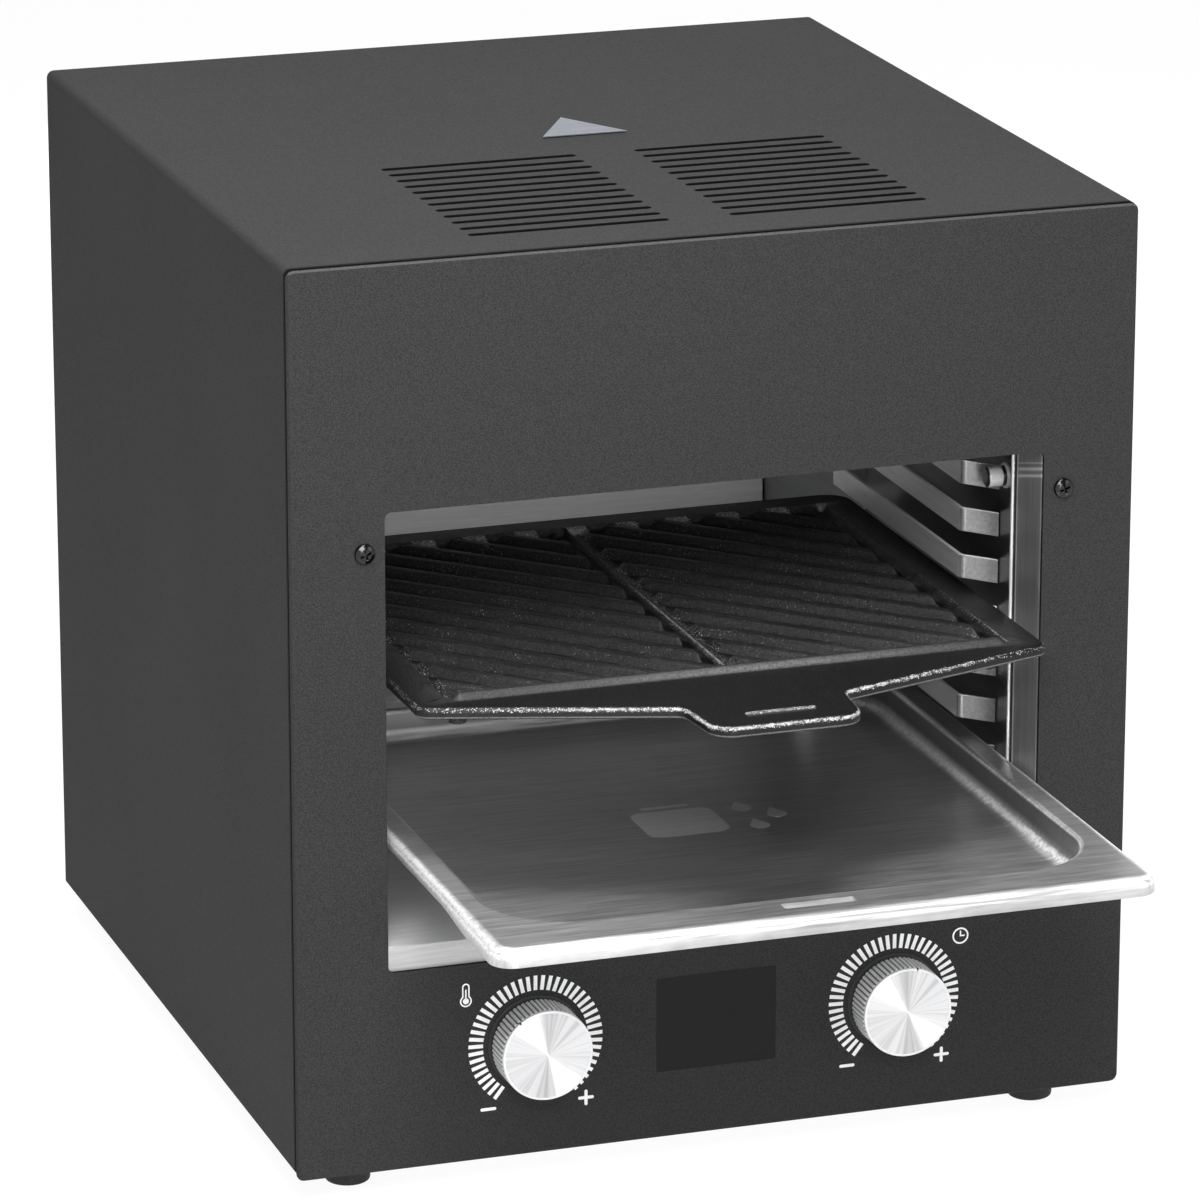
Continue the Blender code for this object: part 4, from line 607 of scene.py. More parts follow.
for side, word, notch in ((-1, "left", -38), (1, "right", 12)):
    centre = at(side * KNOB_X, 0, KNOB_Z)
    body = f"{word}_knob"
    face_metal = finish(f"spun_face_{word}", (0.80, 0.80, 0.81), 0.38, 1.0, Anisotropic=0.98)
    offset = vector_maths(face_metal, "SUBTRACT", own_place(face_metal), centre)
    flat = vector_maths(face_metal, "MULTIPLY", offset, (1, 0, 1))
    rings = line_noise(face_metal, vector_maths(face_metal, "LENGTH", flat), 5200.0)
    recolour(face_metal, spread(face_metal, rings, 0.3, 0.7, 0, 1), (0.82, 0.82, 0.83), (0.93, 0.93, 0.94))
    roughen(face_metal, rings, 0.34, 0.42)
    emboss(face_metal, rings, 0.000003)
    outward = vector_maths(face_metal, "NORMALIZE", flat)
    feed(face_metal, "Tangent", outward)
    rays = add_node(face_metal, "TexNoise", {"Vector": outward, "Scale": 8.0, "Detail": 2.0}).outputs["Fac"]
    overlay(face_metal, spread(face_metal, rays, 0.45, 0.68, 0, 1), (0.66, 0.66, 0.67))

    grip = bmesh.new()
    profile = [(17.4, -0.8, 0), (17.4, -1.7, 0), (18.1, -1.9, 0.55), (18.5, -2.2, 0.6), (18.5, -13.5, 0.6)]
    profile += [(18.1, -13.9, 0.5), (17.7, -14.1, 0), (17.7, -14.4, 0), (18.2, -14.5, 0), (18.45, -14.75, 0)]
    profile += [(18.45, -15.45, 0), (18.35, -15.75, 0), (18.1, -15.93, 0), (17.7, -16.0, 0)]
    profile += [(17.5, -15.98, 0), (17.42, -15.9, 0), (17.42, -13, 0)]
    loft(grip, [knob_ring(centre, *ring) for ring in profile])
    # Marks the flutes' hollow points for their painted shade.
    hollow = grip.verts.layers.float.new("hollow")
    for i, vert in enumerate(grip.verts):
        vert[hollow] = FLUTE[i % len(FLUTE)] if profile[i // RING_POINTS][2] else 0
    make_piece(grip, f"knob_{word}_grip", grip_metal, "spun_aluminium", body, [f"knob_{word}"], 30)
    levels = [(17.42, -14.0), (17.42, -15.86), (17.36, -15.93), (17.2, -15.95)]
    levels += [(r, -15.95 + 0.05 * (1 - (r / 17.2) ** 2)) for r in (14, 11, 8, 5, 2.5, 1.0, 0.2)]
    rings = turned(levels, centre, "Y", 128)
    loft_piece(rings, f"knob_{word}_face", face_metal, "spun_aluminium", body)
    turn = math.radians(notch)
    out = Vector((math.sin(turn), 0, math.cos(turn)))
    across = Vector((math.cos(turn), 0, -math.sin(turn)))
    rings = []
    for level in (-14.7, -15.99):
        corners = [(-0.35, 17.5), (0.35, 17.5), (0.35, 18.52), (-0.35, 18.52)]
        rings.append([centre + (across * u + out * v + Vector((0, level, 0))) / 1000 for u, v in corners])
    loft_piece(rings, f"knob_{word}_notch", notch_and_shadow_ink, "black_plastic", body)
    # A thin black ring on the panel round the knob's base: a painted shadow.
    levels = [(12.0, 0.0), (12.0, -0.45), (19.1, -0.45), (19.3, -0.3), (19.3, 0.0)]
    loft_piece(turned(levels, centre, "Y", 96), f"knob_{word}_seat", notch_and_shadow_ink, "black_plastic")

# The rear panel: a powder-coated plate inside the wrap's rear edge, with punched vents, and the moulded
# appliance inlet with its three pins. Six pan-head screws hold the plate and two smaller ones the inlet.

from_node("rear_panel", "plate", coat, "coated_steel", 0.2)
moulded = grained(
    "moulded_black", 1400, (0.016, 0.016, 0.017), (0.030, 0.030, 0.031), 0.42, 0.60, 0.00006, IOR=1.5
)
from_node("power_inlet", "shell", moulded, "black_plastic", 0.3)
rear_screws = [(x, 358.05, z, 3.1) for x in (-163, 163) for z in (14, 180, 347)]
rear_screws += [(x, 360.75, 40, 1.7) for x in (90, 130)]
for number, (x, y, z, radius) in enumerate(rear_screws, 1):
    centre = at(x, y, z)
    tall = 0.55 * radius
    head = [(0.02, tall), (0.6 * radius, 0.95 * tall, 0.3 * radius), (radius, 0.5 * tall, 0.15 * radius)]
    rings = turned(rounded_profile(head + [(radius, 0.0), (0.02, 0.0)]), centre, "Y", 40)
    screw = loft_piece(rings, f"rear_screw_{number}", dark_nickel, "dark_screws")
    recess = ((1.3 * tall, 0.62 * radius, 0.13 * radius), (0.35 * tall, 0.3 * radius, 0.07 * radius))
    cross_recess(screw, centre, 27 * number, recess)

# The base: zinc-plated sheet folded up at both sides, with posts for the power board. Four moulded
# rubber feet are fixed under it, each with a hole up its middle.

zinc = brushed("zinc_plate", (0.32, 0.33, 0.34), (0.48, 0.49, 0.50), 0.38, 0, 700, 0.000004)
from_node("base_plate", "sheet", zinc, "zinc_plated", 0.2)
rubber = grained("rubber", 800, grey(0.008), (0.022, 0.022, 0.021), 0.62, 0.85, 0.00008, 3.0)
profile = [(0.1, -11.5), (2.6, -11.5, 0.3), (2.6, -14.5, 0.4), (8.9, -14.5, 1.2), (9.75, -0.9, 0.8)]
profile = rounded_profile(profile + [(9.0, 0.0), (0.1, 0.0)])
for name in ("foot_front_left", "foot_front_right", "foot_rear_left", "foot_rear_right"):
    low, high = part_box(name)
    centre = Vector(((low.x + high.x) / 2, (low.y + high.y) / 2, high.z))
    loft_piece(turned(profile, centre, "Z"), f"{name}_rubber", rubber, "rubber_feet", "casing", [name])

# The cavity: stainless sheet, folded and spot-welded. The walls and the ceiling are dulled by heat, and
# the floor carries a front flange that shows under the tray. The back and the floor's upper face are made
# much paler, as painted light where little light reaches.


def pale_steel(level):
    """A grey with a little blue in it."""
    return (level, level, level + 0.005)


dull_steel = brushed("cavity_sheet", (0.15, 0.15, 0.152), (0.20, 0.20, 0.202), 0.34, 1, 1500)
# Painted light: paler copies of the sheet for the back wall and the floor's upper face.
back_painted_light_steel = brushed("cavity_back_sheet", pale_steel(0.78), pale_steel(0.88), 0.50, 0, 1500, metal=0.3)
floor_painted_light_steel = brushed("cavity_floor_sheet", pale_steel(0.86), pale_steel(0.96), 0.46, 0, 1500, metal=0.2)
flange_steel = brushed("floor_flange", pale_steel(0.42), pale_steel(0.51), 0.44, 0, 1500, metal=0.5)
for node in ("cavity_wall_left", "cavity_wall_right"):
    from_node(node, "sheet", dull_steel, "cavity_steel", 0.15)
from_node("cavity_back_wall", "sheet", back_painted_light_steel, "cavity_steel", 0.15)
from_node("cavity_ceiling", "sheet", dull_steel, "cavity_steel", 0.15)
floor_sheet = from_node("cavity_floor", "sheet", floor_painted_light_steel, "cavity_steel", 0.2)
repaint(floor_sheet, [flange_steel], lambda face: int(face.normal.y < -0.5))

# The jambs: brushed stainless uprights behind the opening's sides, with a painted highlight across them
# near the top. Each one's rear edge is rolled over a groove, painted dark as shade, to a narrow polished
# hem, which is made near-white with a painted highlight beside it, so that it shows as a bright line.

jamb_steel = brushed("jamb_sheet", pale_steel(0.35), pale_steel(0.46), 0.40, 2, 1500, metal=0.8)
# A painted highlight: a bright streaked band slanting across the jamb near the top.
HIGHLIGHT_SLOPE = 0.269
slant = (0, HIGHLIGHT_SLOPE, 1)
highlight_level = wrap_edge + HIGHLIGHT_SLOPE * panel_face
painted_highlight_band = across_band(jamb_steel, slant, highlight_level + 0.2534, highlight_level + 0.2604, 0.0008)
highlight_streaks = spread(jamb_steel, line_noise(jamb_steel, along_way(jamb_steel, slant), 700.0), 0.42, 0.62, 0, 1)
overlay(jamb_steel, maths(jamb_steel, "MULTIPLY", painted_highlight_band, highlight_streaks), grey(0.98))
# A dark band painted as the groove's shade, and a bright one painted as the roll's highlight.
for start, end, level in ((0.0276, 0.0300, 0.02), (0.0262, 0.0274, 0.95)):
    painted_shade_and_highlight_band = across_band(jamb_steel, (0, 1, 0), panel_face + start, panel_face + end, 0.0001)
    overlay(jamb_steel, painted_shade_and_highlight_band, grey(level))
# The hem is made near-white: a painted highlight.
hem_highlight_steel = brushed("polished_hem", (0.93, 0.93, 0.94), grey(0.99), 0.22, 2, 2000, 0.000001, metal=0.5)
section = outline([(133.9, 30.4, 0.7), (135.3, 30.4, 0.7), (135.3, 32.0, 0.7), (133.9, 32.0, 0.7)], 6)
for side, word in SIDES:
    from_node(f"jamb_{word}", "sheet", jamb_steel, "jamb_steel", 0.15)
    hem = [[at(side * p.x, p.y, z) for p in section] for z in (89.6, 265.4)]
    loft_piece(hem, f"jamb_{word}_hem", hem_highlight_steel, "jamb_steel")

# The rails: seven pairs of brushed stainless strips on edge, their ends bent outwards and welded to the
# cavity's walls. Their upper edges carry a painted highlight, the strips are painted pale and their legs
# darker as painted light and shade, and heat has dulled the tabs.


def rail_finish(face):
    """1 for the painted highlight on the upper edge and tabs' rounded edges, 2 for tabs on the wall, 3 for
    shaded legs.
    """
    sideways = abs(face.normal.x)
    if face.normal.z > 0.25:
        return 1
    if abs(face.center.x) > 0.1355 and abs(face.normal.z) < 0.2 and sideways > 0.8:
        return 2 if sideways > 0.97 else 1
    return 3 if abs(face.normal.y) > 0.3 else 0


# Pale strips, darker legs and near-white upper edges: painted light, shade and highlight on one steel.
rail_steel = brushed("rail_strip", pale_steel(0.86), pale_steel(0.97), 0.42, 1, 1500, metal=0.65)
leg_shade_steel = brushed("rail_leg", pale_steel(0.29), pale_steel(0.40), 0.40, 1, 1500, metal=0.6)
painted_highlight_edge = brushed("worn_rail_edge", (0.90, 0.90, 0.91), grey(0.98), 0.48, 1, 1800, metal=0.1)
for word in ("left", "right"):
    for level in range(1, 8):
        rail = from_node(f"rail_{word}_{level}", "strip", rail_steel, "rail_steel", 0.25, 3)
        repaint(rail, [painted_highlight_edge, dull_steel, leg_shade_steel], rail_finish)

# The rack bolts: turned stainless studs with a collar, one in each wall behind the jamb. Their ends are
# dull, and the neck behind the head is painted dark as shade.

STUD_X = 138.7


def stud_finish(face):
    """1 for the dull ends, and for the neck, which is painted dark as shade."""
    inward = STUD_X - abs(face.center.x) * 1000
    return int(abs(inward) > 8.9 or 1.7 < inward < 3.1)


polished = brushed("polished_steel", (0.64, 0.64, 0.65), (0.80, 0.80, 0.81), 0.22, 0, 900, 0.000003)
stud_steel = brushed("stud_steel", grey(0.88), grey(0.99), 0.36, 0, 700, 0.000008, metal=0.2)
for side, word in SIDES:
    profile = [(0.05, -9.6), (3.3, -9.6, 0.4), (4.1, -9.0, 0.5), (4.15, -3.2), (3.5, -2.9, 0.2)]
    profile += [(3.5, -2.3, 0.2), (4.15, -2.0), (4.2, -1.6, 0.1), (5.2, -1.4, 0.4), (5.2, -0.05)]
    profile += [(2.0, 0.0), (2.0, 5.9), (0.05, 6.0)]
    profile = rounded_profile([(radius, side * level, *round_off) for radius, level, *round_off in profile])
    rings = turned(profile, at(side * STUD_X, 47, 242), "X")
    name = f"rack_bolt_{word}"
    stud = loft_piece(rings, f"{name}_turned", stud_steel, "polished_steel", "casing", [name])
    repaint(stud, [dull_steel], stud_finish)

# The heater: a polished hood over the ceiling's opening with four quartz tubes in ceramic holders, wool
# over it, made near-black as painted shade under the vent slots, a thermal cut-out beside it, and the
# temperature probe through the back wall.

from_node("reflector_hood", "sheet", polished, "polished_steel", 0.2)
clear = {"IOR": 1.46, "Transmission_Weight": 0.55}
streaks = (12, 900, 900)
quartz = grained("quartz", streaks, (0.70, 0.63, 0.57), (0.93, 0.90, 0.87), 0.08, 0.22, 0.00001, **clear)
for i in range(1, 5):
    from_node(f"heater_tube_{i}", "tube", quartz, "quartz_tube", 0.4, 2, 50)
ceramic = grained("ceramic", 600, (0.50, 0.48, 0.43), (0.70, 0.68, 0.63), 0.6, 0.8, 0.00006, 4.0)
for word in ("left", "right"):
    from_node(f"tube_holder_{word}", "plate", ceramic, "ceramic_holder", 0.3)
from_node("temperature_probe", "rod", polished, "polished_steel", 0.3, 2, 50)
from_node("thermal_cutout", "shell", moulded, "black_plastic", 0.4)
fibres = (700, 120, 700)
# The wool is made near-black: painted shade for what shows through the slots.
wool = grained("mineral_wool", fibres, grey(0.006), (0.016, 0.016, 0.015), 0.85, 1.0, 0.0006, 5.0, 1.5)
from_node("insulation_top", "wool", wool, "insulation", 1.2, 3)

# The electronics: encoders and their shafts behind the knobs, the display's module, two circuit boards
# and the terminal block, all out of sight inside the casing.


def cells(material, per_metre):
    """The outputs of a pattern of small cells, so many to the metre."""
    inputs = {"Vector": scaled_place(material, per_metre), "Scale": 1.0}
    return add_node(material, "TexVoronoi", inputs).outputs


encoder_steel = brushed("encoder_steel", (0.22, 0.22, 0.23), (0.38, 0.38, 0.39), 0.36, 1, 1200)
for word in ("left", "right"):
    from_node(f"encoder_{word}", "can", encoder_steel, "encoder_metal", 0.3)
    from_node(f"encoder_shaft_{word}", "rod", encoder_steel, "encoder_metal", 0.3, 2, 50)
from_node("display_module", "shell", moulded, "black_plastic", 0.3)
board = finish("solder_resist", (0.02, 0.10, 0.05), 0.4, IOR=1.5)
tracks = cells(board, 260)["Distance"]
recolour(board, spread(board, tracks, 0.1, 0.6, 0, 1), (0.012, 0.07, 0.03), (0.03, 0.16, 0.075))
feed(board, "Roughness", spread(board, tracks, 0.1, 0.6, 0.3, 0.5))
emboss(board, tracks, 0.00004)
for node in ("control_board", "power_board"):
    from_node(node, "assembly", board, "circuit_board", 0.2)
pale_plastic = grained("pale_plastic", 900, (0.52, 0.51, 0.46), (0.66, 0.65, 0.60), 0.45, 0.6, 0.00005)
from_node("terminal_block", "shell", pale_plastic, "pale_plastic", 0.4)

# The grill plate: cast and coated black with fine pale specks, with slanted ridges in a sunk well, a
# raised crest across its front, and an apron that runs out to the grip lug with its raised bar. The edges
# that hands and cloths reach are rubbed, and these marks also paint highlights on the ridges' ends, the
# rear wall and the bar. Painted highlights lie on the crest, the rib and the lip, and painted shade on the
# apron, in the pits and along the ridges' feet.

PLATE_TOP = 192.96
RIDGE_PITCH = 22.1


def eased(value):
    """0 to 1 with soft ends."""
    value = min(max(value, 0.0), 1.0)
    return value * value * (3 - 2 * value)


def peak(value, middle, width):
    """1 at the middle, falling away over the width on both sides."""
    return math.exp(-(((value - middle) / width) ** 2))


def inside(u, v, low_u, high_u, low_v, high_v, slope):
    """How far a point is within a rectangle, 0 outside it to 1 past the slope."""
    return eased(min(u - low_u, high_u - u) / slope) * eased(min(v - low_v, high_v - v) / slope)


def past_ridge(x, y):
    """How far a point lies past the middle of the nearest slanted ridge, below 0 before it."""
    return ((x + y - 19) / RIDGE_PITCH % 1 - 0.5) * RIDGE_PITCH / math.sqrt(2)


def plate_height(x, y):
    """The level of the plate's upper face: its well, ridges, middle rib and the step down to the apron."""
    sunk = inside(x, y, -115.4, 115.4, -13.2, 191.0, 2.2)
    across = abs(past_ridge(x, y))
    ridge = 3.55 * (1 - eased((across - 1.5) / 2.3)) - 0.10 * eased(across / 1.5)
    field = inside(x, y, -112.8, -3.0, -20, 189.0, 2.0) + inside(x, y, 5.0, 111.2, -20, 189.0, 2.4)
    rib = 2.4 * (1 - eased((abs(x - 0.9) - 0.3) / 1.3))
    crest = 2.5 * eased((y + 19.2) / 3.4) * (1 - eased((y + 14.8) / 2.8)) * eased((114.2 - abs(x)) / 4)
    return (max(ridge * min(field, 1), rib) - 3.4) * sunk + crest


def plate_wear_and_highlight(x, y):
    """Rubbed-off coat and painted highlights: the rib, the well's upper edges, the ridges' ends, the rear
    wall.
    """
    if abs(x) > 116 or not -14.5 < y < 192:
        return -0.5
    rib = peak(x, 0.6, 0.5) * eased((170 - y) / 100)
    right = 0.6 * peak(x, 115.2, 0.5) * eased((120 - y) / 110)
    starts = 0.42 * (peak(x, -112.0, 1.6) + peak(x, 5.2, 1.6))
    rear = peak(y, 189.4, 1.4) * (0.72 if abs(past_ridge(x, y)) > 4.4 else -0.3)
    return min(max(rib, right, starts, rear), 1)


def plate_light_and_shade(x, y):
    """Painted highlights on the crest, rib and valleys' rear ends; below 0, painted shade on apron, pits and
    ridge feet.
    """
    if y < -14:
        fade = (0.16 + 0.84 * peak(x, 10, 62)) * eased((114 - abs(x)) / 4)
        return peak(y, -17.6, 1.0) * fade - 0.8 * (1 - eased((y + 20.5) / 2))
    across = abs(past_ridge(x, y))
    if across < 3.4 and (-4.6 < x < -0.6 or 110.6 < x < 114.0) and y < 186:
        return -1
    if across > 4.6 and 187.6 < y < 191.0:
        return 1.3
    foot = peak(past_ridge(x, y), -5.21, 1.2) * min(1, abs(x - 1) / 4)
    return 0.3 * peak(x, 0.6, 0.5) * eased((150 - y) / 110) - 0.9 * foot


plate = bmesh.new()
worn = plate.verts.layers.float.new("worn")
sheen = plate.verts.layers.float.new("sheen")
STEP_X, STEP_Y, FINE_STEP_Y = 0.71084, 0.7, 0.35
places_x = [-118 + STEP_X * i for i in range(333)]
places_y = [-21 + FINE_STEP_Y * i for i in range(26)] + [-12.25 + STEP_Y * (i + 1) for i in range(293)]
grid = []
for y in places_y:
    row = []
    for x in places_x:
        row.append(plate.verts.new(at(x, y, PLATE_TOP + plate_height(x, y))))
        row[-1][worn] = plate_wear_and_highlight(x, y)
        row[-1][sheen] = plate_light_and_shade(x, y)
    grid.append(row)
for lower, upper in zip(grid, grid[1:]):
    for i in range(len(places_x) - 1):
        plate.faces.new((lower[i], lower[i + 1], upper[i]))
        plate.faces.new((lower[i + 1], upper[i + 1], upper[i]))
border = grid[0] + [row[-1] for row in grid[1:]] + grid[-1][-2::-1] + [row[0] for row in grid[-2:0:-1]]

right = [(30, -82, 10), (33, -53, 5), (129, -22.4, 6), (129, 204.6, 12)]
edge = right + [(-x, y, radius) for x, y, radius in reversed(right)]
lip = outline(edge, 12)


def inward(points, amount):
    """The outline drawn in by an amount."""
    drawn = []
    for i, p in enumerate(points):
        a, b = points[i - 1], points[(i + 1) % len(points)]
        side = ((p - a).normalized() + (b - p).normalized()).normalized().orthogonal()
        drawn.append(p + side * amount)
    return drawn


RIM_BOTTOM = 188.16
LOWER_BEND, UPPER_BEND = 1.5, 2.2
levels = []
for step in range(7):
    turn = math.pi / 2 * step / 6
    levels.append((LOWER_BEND * (1 - math.sin(turn)), RIM_BOTTOM + LOWER_BEND * (1 - math.cos(turn))))
for step in range(9):
    turn = math.pi / 2 * step / 8
    levels.append((UPPER_BEND * (1 - math.cos(turn)), PLATE_TOP - UPPER_BEND * (1 - math.sin(turn))))
skin = []
for i, (drawn_in, z) in enumerate(levels):
    skin.append([plate.verts.new(at(p.x, p.y, z)) for p in inward(lip, drawn_in)])
    # The lip's upper edge is rubbed, and its rubbed marks also stand as a painted highlight.
    rubbed_and_lit = {7: -0.2, 8: 0.3, 9: 0.7, 10: 1.0, 11: 1.0, 12: 0.6, 13: 0.1}.get(i, -0.5)
    for vert, p in zip(skin[-1], lip):
        vert[worn] = min(rubbed_and_lit, 1.0 if p.y < -30 else 0.4 if p.y < -18 else -0.5)
        # Painted light on the lip: a reflected line low on its front, and painted shade elsewhere.
        vert[sheen] = 1.6 if i in (4, 5) and p.y < -18 else -0.8
join_rows(plate, skin)
plate.faces.new(skin[0])
loops = []
for ring in (skin[-1], border):
    for i in range(len(ring)):
        loops.append(plate.edges.get((ring[i - 1], ring[i])) or plate.edges.new((ring[i - 1], ring[i])))
bmesh.ops.triangle_fill(plate, edges=loops, use_beauty=True)

cast_black = finish("cast_black", grey(0.016), 0.46, IOR=1.5, Specular_IOR_Level=0.30)
skin = grain(cast_black, 1300, 3.0)
recolour(cast_black, spread(cast_black, skin, 0.36, 0.66, 0, 1), grey(0.009), grey(0.038))
roughen(cast_black, skin, 0.34, 0.54)
emboss(cast_black, skin, 0.00022)
# Painted light and shade: a pale grey where the value is above 0, black where it is below.
light_and_shade = painted(cast_black, "sheen")
broken = spread(cast_black, grain(cast_black, 1100), 0.36, 0.64, 0.35, 1)
painted_highlight = maths(cast_black, "MULTIPLY", spread(cast_black, light_and_shade, 0, 2, 0, 2), broken)
overlay(cast_black, painted_highlight, grey(0.14))
overlay(cast_black, spread(cast_black, light_and_shade, 0, -1, 0, 1), grey(0.0))
# Rubbed-off coat, which also paints highlights: pale where the value is high.
rubbed_and_lit = painted(cast_black, "worn")
gaps = spread(cast_black, grain(cast_black, 420, 3.0), 0.40, 0.58, 0.1, 1)
bare_and_glint = maths(cast_black, "MULTIPLY", spread(cast_black, rubbed_and_lit, 0.5, 1.0, 0, 0.8), gaps)
overlay(cast_black, bare_and_glint, grey(0.50))
flecks = cells(cast_black, 1900)
chance = add_node(cast_black, "SeparateXYZ", {"Vector": flecks["Color"]}).outputs["X"]
chance = maths(cast_black, "MULTIPLY_ADD", rubbed_and_lit, 0.92, chance)
chance = maths(cast_black, "MULTIPLY_ADD", grain(cast_black, 60, 3.0), 0.36, chance)
small = spread(cast_black, flecks["Distance"], 0.55, 0.15, 0, 1)
shown = maths(cast_black, "MULTIPLY", small, spread(cast_black, chance, 1.12, 1.30, 0, 1))
overlay(cast_black, shown, grey(0.66))
make_piece(plate, "grill_plate_casting", cast_black, "cast_plate", "grill_plate", ["grill_plate"], 50)


def block(v, width, height, radius, levels):
    """Level outlines of a rounded block, each drawn in by an amount: (amount, level) pairs in mm."""
    rings = []
    for amount, z in levels:
        points = rectangle(0, v, width - 2 * amount, height - 2 * amount, radius - amount)
        rings.append([at(p.x, p.y, z) for p in points])
    return rings


pan = block(87.8, 230, 205.6, 10, ((0, 188.5), (0, 185.4), (0.3, 184.8), (0.95, 184.46)))
loft_piece(pan, "grill_plate_pan", cast_black, "cast_plate", "grill_plate")
profile = rounded_profile([(3.5, 3.2), (3.5, 0.0, 0.5), (0.1, 0.0)])
for y, row in ((-9, "front"), (184.6, "rear")):
    for x, word in ((-109, "left"), (109, "right")):
        boss = turned(profile, at(x, y, 181.46), "Z", 40)
        loft_piece(boss, f"grill_plate_boss_{row}_{word}", cast_black, "cast_plate", "grill_plate")

bar = bmesh.new()
worn = bar.verts.layers.float.new("worn")
loft(bar, block(-70, 29, 3, 1.45, ((0, 192.7), (0, 193.3), (0.2, 193.8), (0.6, 194.06))))
# The bar's top edges are marked as rubbed, which also paints their highlight.
for vert in bar.verts:
    vert[worn] = 0.7 if vert.co.z > at(0, 0, 193.6).z else -0.5
make_piece(bar, "grill_plate_bar", cast_black, "cast_plate", "grill_plate")

# The drip tray: pressed stainless sheet. Its well has wide plan corners, its rim has a rolled front
# edge with a slot for a lifting handle, and its side edges turn down over the rails. Its bends and rolled
# edge carry painted highlights, and its well's walls painted shade.

TRAY_RIM = 131.998
FLOOR_BEND, RIM_BEND, EDGE_BEND = 6, 2.4, 5


def tray_frame(half_width, front, rear, corner, side_places):
    """A rounded rectangle's points with their outward directions, its long sides split at places."""
    points = []
    x = half_width - corner
    turns = (
        (x, front + corner, -90, side_places),
        (x, rear - corner, 0, []),
        (-x, rear - corner, 90, side_places[::-1]),
        (-x, front + corner, 180, []),
    )
    for centre_x, centre_y, start, places in turns:
        for step in range(17):
            turn = math.radians(start + 90 * step / 16)
            outward = Vector((math.cos(turn), math.sin(turn)))
            points.append((Vector((centre_x, centre_y)) + outward * corner, outward))
        side = 1 if centre_x > 0 else -1
        points += [(Vector((side * half_width, y)), Vector((side, 0))) for y in places]
    return points


def tray_lip(point, outward):
    """How the rim's edge turns down: the bend's curvature and length, and the straight after it."""
    full = EDGE_BEND * math.pi / 2
    shallow = EDGE_BEND * math.acos(1 - 3.7 / EDGE_BEND)
    to_rear = max(outward.y, 0)
    deep = eased((66 - (point.y + 130)) / 36)
    length = full * deep + shallow * (1 - deep)
    length += (5.4 - length) * to_rear
    return (1 - to_rear) / EDGE_BEND, length, 2 * deep + 0.3 * (1 - deep)


places = [-121 + 280.3 * i / 24 for i in range(1, 24)]
well_places = [-72 + 201 * (y + 121) / 284.3 for y in places]
wall = tray_frame(119.5, -105.6, 159, 32.5, well_places)
rim = tray_frame(127.8, -125, 167.3, 4, places)
quarter = [(math.sin(math.pi / 2 * step / 10), math.cos(math.pi / 2 * step / 10)) for step in range(11)]
bends = [(FLOOR_BEND * (sin - 1), 124 - FLOOR_BEND * cos, sin, cos) for sin, cos in quarter]
bends += [(RIM_BEND * (1 - cos), TRAY_RIM - RIM_BEND * (1 - sin), cos, sin) for sin, cos in quarter[1:]]
upper, lower = [], []
for reach, level, out, down in bends:
    upper.append([at(*(p + n * reach), level) for p, n in wall])
    lower.append([at(*(p + n * (reach + out)), level - down) for p, n in wall])
for step in range(12):
    above, below = [], []
    for point, outward in rim:
        curvature, length, tail = tray_lip(point, outward)
        along = length * min(step, 10) / 10
        turn = curvature * along
        reach = math.sin(turn) / curvature if turn else along
        drop = (1 - math.cos(turn)) / curvature if turn else 0
        if step > 10:
            reach += tail * math.cos(turn)
            drop += tail * math.sin(turn)
        p = point + outward * reach
        above.append(at(*p, TRAY_RIM - drop))
        p = point + outward * (reach - math.sin(turn))
        below.append(at(*p, TRAY_RIM - drop - math.cos(turn)))
    upper.append(above)
    lower.append(below)
tray = bmesh.new()
loft(tray, upper + lower[::-1])
worn = tray.verts.layers.float.new("worn")
# Painted light on each ring of points: above 0 a highlight on the bends and rolled edge, below 0 shade on the
# walls.
rubbed_and_lit = [0, 0, 0.1, 0.5, 1.1, 1.5, 1.1, 0.4, 0, -0.5, -0.8, -0.6, -0.4, 0.1, 0.9, 0.9, 0.4, 0.2]
rubbed_and_lit += [0.12, 0.12, 0.12, 0.12, 0.3, 0.7, 1.4, 2.2, 1.6, 0.9, 1.6, 0.9, 0.4, 0.2, 0]
for i, vert in enumerate(tray.verts):
    ring = i // len(wall)
    vert[worn] = rubbed_and_lit[ring] if ring < len(rubbed_and_lit) else 0
tray_steel = brushed("tray_sheet", pale_steel(0.47), pale_steel(0.65), 0.35, 0, 2000, metal=0.97, up=0.1)
# Painted highlights on the bends and painted shade on the walls, from the rings' values.
painted_bend_light = painted(tray_steel, "worn")
lines = spread(tray_steel, grain(tray_steel, (30, 900, 900), 3.0), 0.36, 0.64, 0.3, 1)
painted_bend_highlight = maths(tray_steel, "MULTIPLY", spread(tray_steel, painted_bend_light, 0, 2, 0, 2), lines)
brushing = spread(tray_steel, grain(tray_steel, (60, 900, 900), 3.0), 0.35, 0.65, 0, 1)
overlay(tray_steel, painted_bend_highlight, tint(tray_steel, brushing, grey(0.84), grey(0.98)))
overlay(tray_steel, spread(tray_steel, painted_bend_light, 0, -1, 0, 1), grey(0.20))
feed(tray_steel, "Metallic", spread(tray_steel, painted_bend_highlight, 0, 1, 0.97, 0.45))
tray_piece = make_piece(tray, "drip_tray_pressing", tray_steel, "tray_steel", "drip_tray", ["drip_tray"], 50)
handle_slot = rectangle(-0.8, -115.6, 29, 5.5, 1.2)
cut(tray_piece, [[at(p.x, p.y, z) for p in handle_slot] for z in (129, 134)])

# The sign on the tray's floor: a plain pan with its handle and three drops beside it, etched a little paler
# than the sheet. It only says that the tray catches drips.

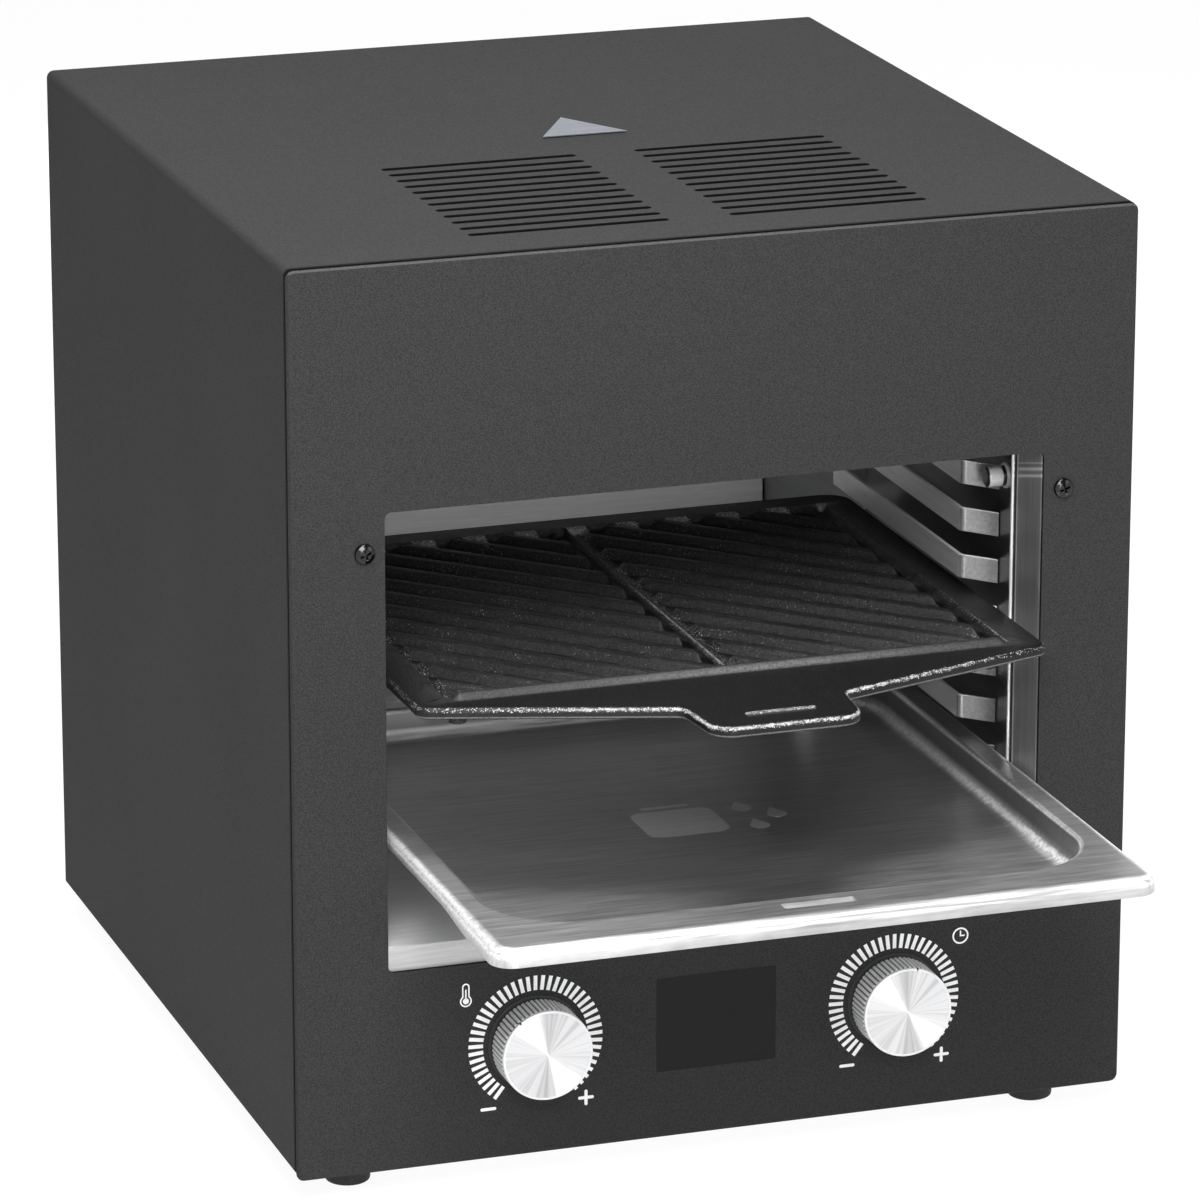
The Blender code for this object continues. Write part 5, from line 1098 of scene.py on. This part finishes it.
etched = brushed("etched_steel", pale_steel(0.72), pale_steel(0.84), 0.38, 0, 2000, metal=0.85)
sign = bmesh.new()
shapes = [rectangle(-6, 27, 34, 30, 5), rectangle(-6, 46.5, 20, 3, 1.4)]
for x, y in ((23, 14), (34, 25), (23, 36)):
    shapes.append([Vector((x, y + 8.6))] + arc(x, y, 4.0, 62, 298, 16))
for points in shapes:
    loft(sign, [[at(p.x, p.y, z) for p in points] for z in (117.9, 118.03)])
make_piece(sign, "drip_sign", etched, "tray_steel", "drip_tray")

# The room: a plain pale floor and a white surround under a dimmer ceiling, with a narrow dark gap that the
# spun faces catch. A large soft light hangs in front, a low one reaches into the cavity, one is overhead,
# and weak ones stand at the right and behind.

WHITE = (1, 1, 1, 1)
paper = finish("floor_paper", grey(0.62), 0.9)
surface = paper.node_tree.nodes["Principled BSDF"].outputs["BSDF"]
glow = add_node(paper, "Emission", {"Color": WHITE, "Strength": 1.22}).outputs["Emission"]
shared = add_node(paper, "MixShader", {0: 0.75, 1: surface, 2: glow}).outputs["Shader"]
ray = add_node(paper, "LightPath", {}).outputs
direct = maths(paper, "MAXIMUM", ray["Is Camera Ray"], ray["Is Glossy Ray"])
direct = maths(paper, "MAXIMUM", direct, ray["Is Transmission Ray"])
seen = add_node(paper, "MixShader", {0: direct, 1: surface, 2: shared}).outputs["Shader"]
paper.node_tree.links.new(seen, paper.node_tree.nodes["Material Output"].inputs["Surface"])
ground = bmesh.new()
bmesh.ops.create_grid(ground, x_segments=4, y_segments=4, size=9)
floor = add_object("floor", mesh_of(ground, "floor"))
floor.data.materials.append(paper)
floor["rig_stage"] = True

world = bpy.data.worlds.new("surround")
world.use_nodes = True
bpy.context.scene.world = world
towards = add_node(world, "TexCoord", {}).outputs["Generated"]
towards = add_node(world, "SeparateXYZ", {"Vector": towards}).outputs
soft = world.node_tree.nodes["Background"]
soft.inputs["Color"].default_value = WHITE
world.node_tree.links.new(spread(world, towards["X"], -0.8, 0.3, 0.05, 0.30), soft.inputs["Strength"])
ceiling = spread(world, towards["Z"], 0.15, 0.65, 1.0, 0.28)
gap = maths(world, "COMPARE", towards["X"], 0.31, 0.07)
hidden = maths(world, "MULTIPLY", maths(world, "LESS_THAN", towards["Y"], 0.0), -1.0)
dimmed = add_node(world, "Math", {0: gap, 1: hidden, 2: ceiling}, operation="MULTIPLY_ADD", use_clamp=True)
mirrored = add_node(world, "Background", {"Color": WHITE, "Strength": dimmed.outputs["Value"]})
white = add_node(world, "Background", {"Color": WHITE, "Strength": 1.0})
ray = add_node(world, "LightPath", {}).outputs
either = maths(world, "MAXIMUM", ray["Is Glossy Ray"], ray["Is Transmission Ray"])
shader = soft.outputs["Background"]
for choice, other in ((either, mirrored), (ray["Is Camera Ray"], white)):
    inputs = {0: choice, 1: shader, 2: other.outputs["Background"]}
    shader = add_node(world, "MixShader", inputs).outputs["Shader"]
world.node_tree.links.new(shader, world.node_tree.nodes["World Output"].inputs["Surface"])

for name, place, aim, size, power in (
    ("light_front", (-0.34, -0.95, 0.95), (-0.10, -0.1, 0.24), 0.6, 13.5),
    ("light_low", (-0.16, -1.9, 0.4), (0, 0, 0.17), 0.7, 11),
    ("light_overhead", (-0.2, -0.15, 1.9), (0, -0.05, 0.3), 0.8, 35),
    ("light_right", (1.2, -1.3, 0.9), (0, 0, 0.2), 0.8, 3),
    ("light_behind", (0.4, 1.7, 0.19), (0, 0.2, 0.19), 0.3, 7),
):
    lamp = bpy.data.lights.new(name, "AREA")
    lamp.energy = power
    lamp.size = size
    light = add_object(name, lamp)
    light.location = place
    light.rotation_euler = (Vector(aim) - Vector(place)).to_track_quat("-Z", "Y").to_euler()

# The camera: at the photograph's angle and distance, from the casing's left and above. It is turned a
# little about its own axis.

azimuth, elevation, roll = (math.radians(turn) for turn in (-18.698, 17.028, 0.057))
level = math.cos(elevation)
back = Vector((math.sin(azimuth) * level, -math.cos(azimuth) * level, math.sin(elevation)))
across = (-back).cross(Vector((0, 0, 1))).normalized()
upward = back.cross(across)
across, upward = (
    across * math.cos(roll) + upward * math.sin(roll),
    upward * math.cos(roll) - across * math.sin(roll),
)
eye = bpy.data.cameras.new("camera")
eye.lens = 202.19
eye.sensor_width = 36
camera = add_object("camera", eye)
facing = Matrix((across, upward, back)).transposed().to_4x4()
camera.matrix_world = Matrix.Translation((-0.84321, -2.4642, 0.99537)) @ facing
bpy.context.scene.camera = camera
bpy.context.scene.view_settings.view_transform = "Standard"

low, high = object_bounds()
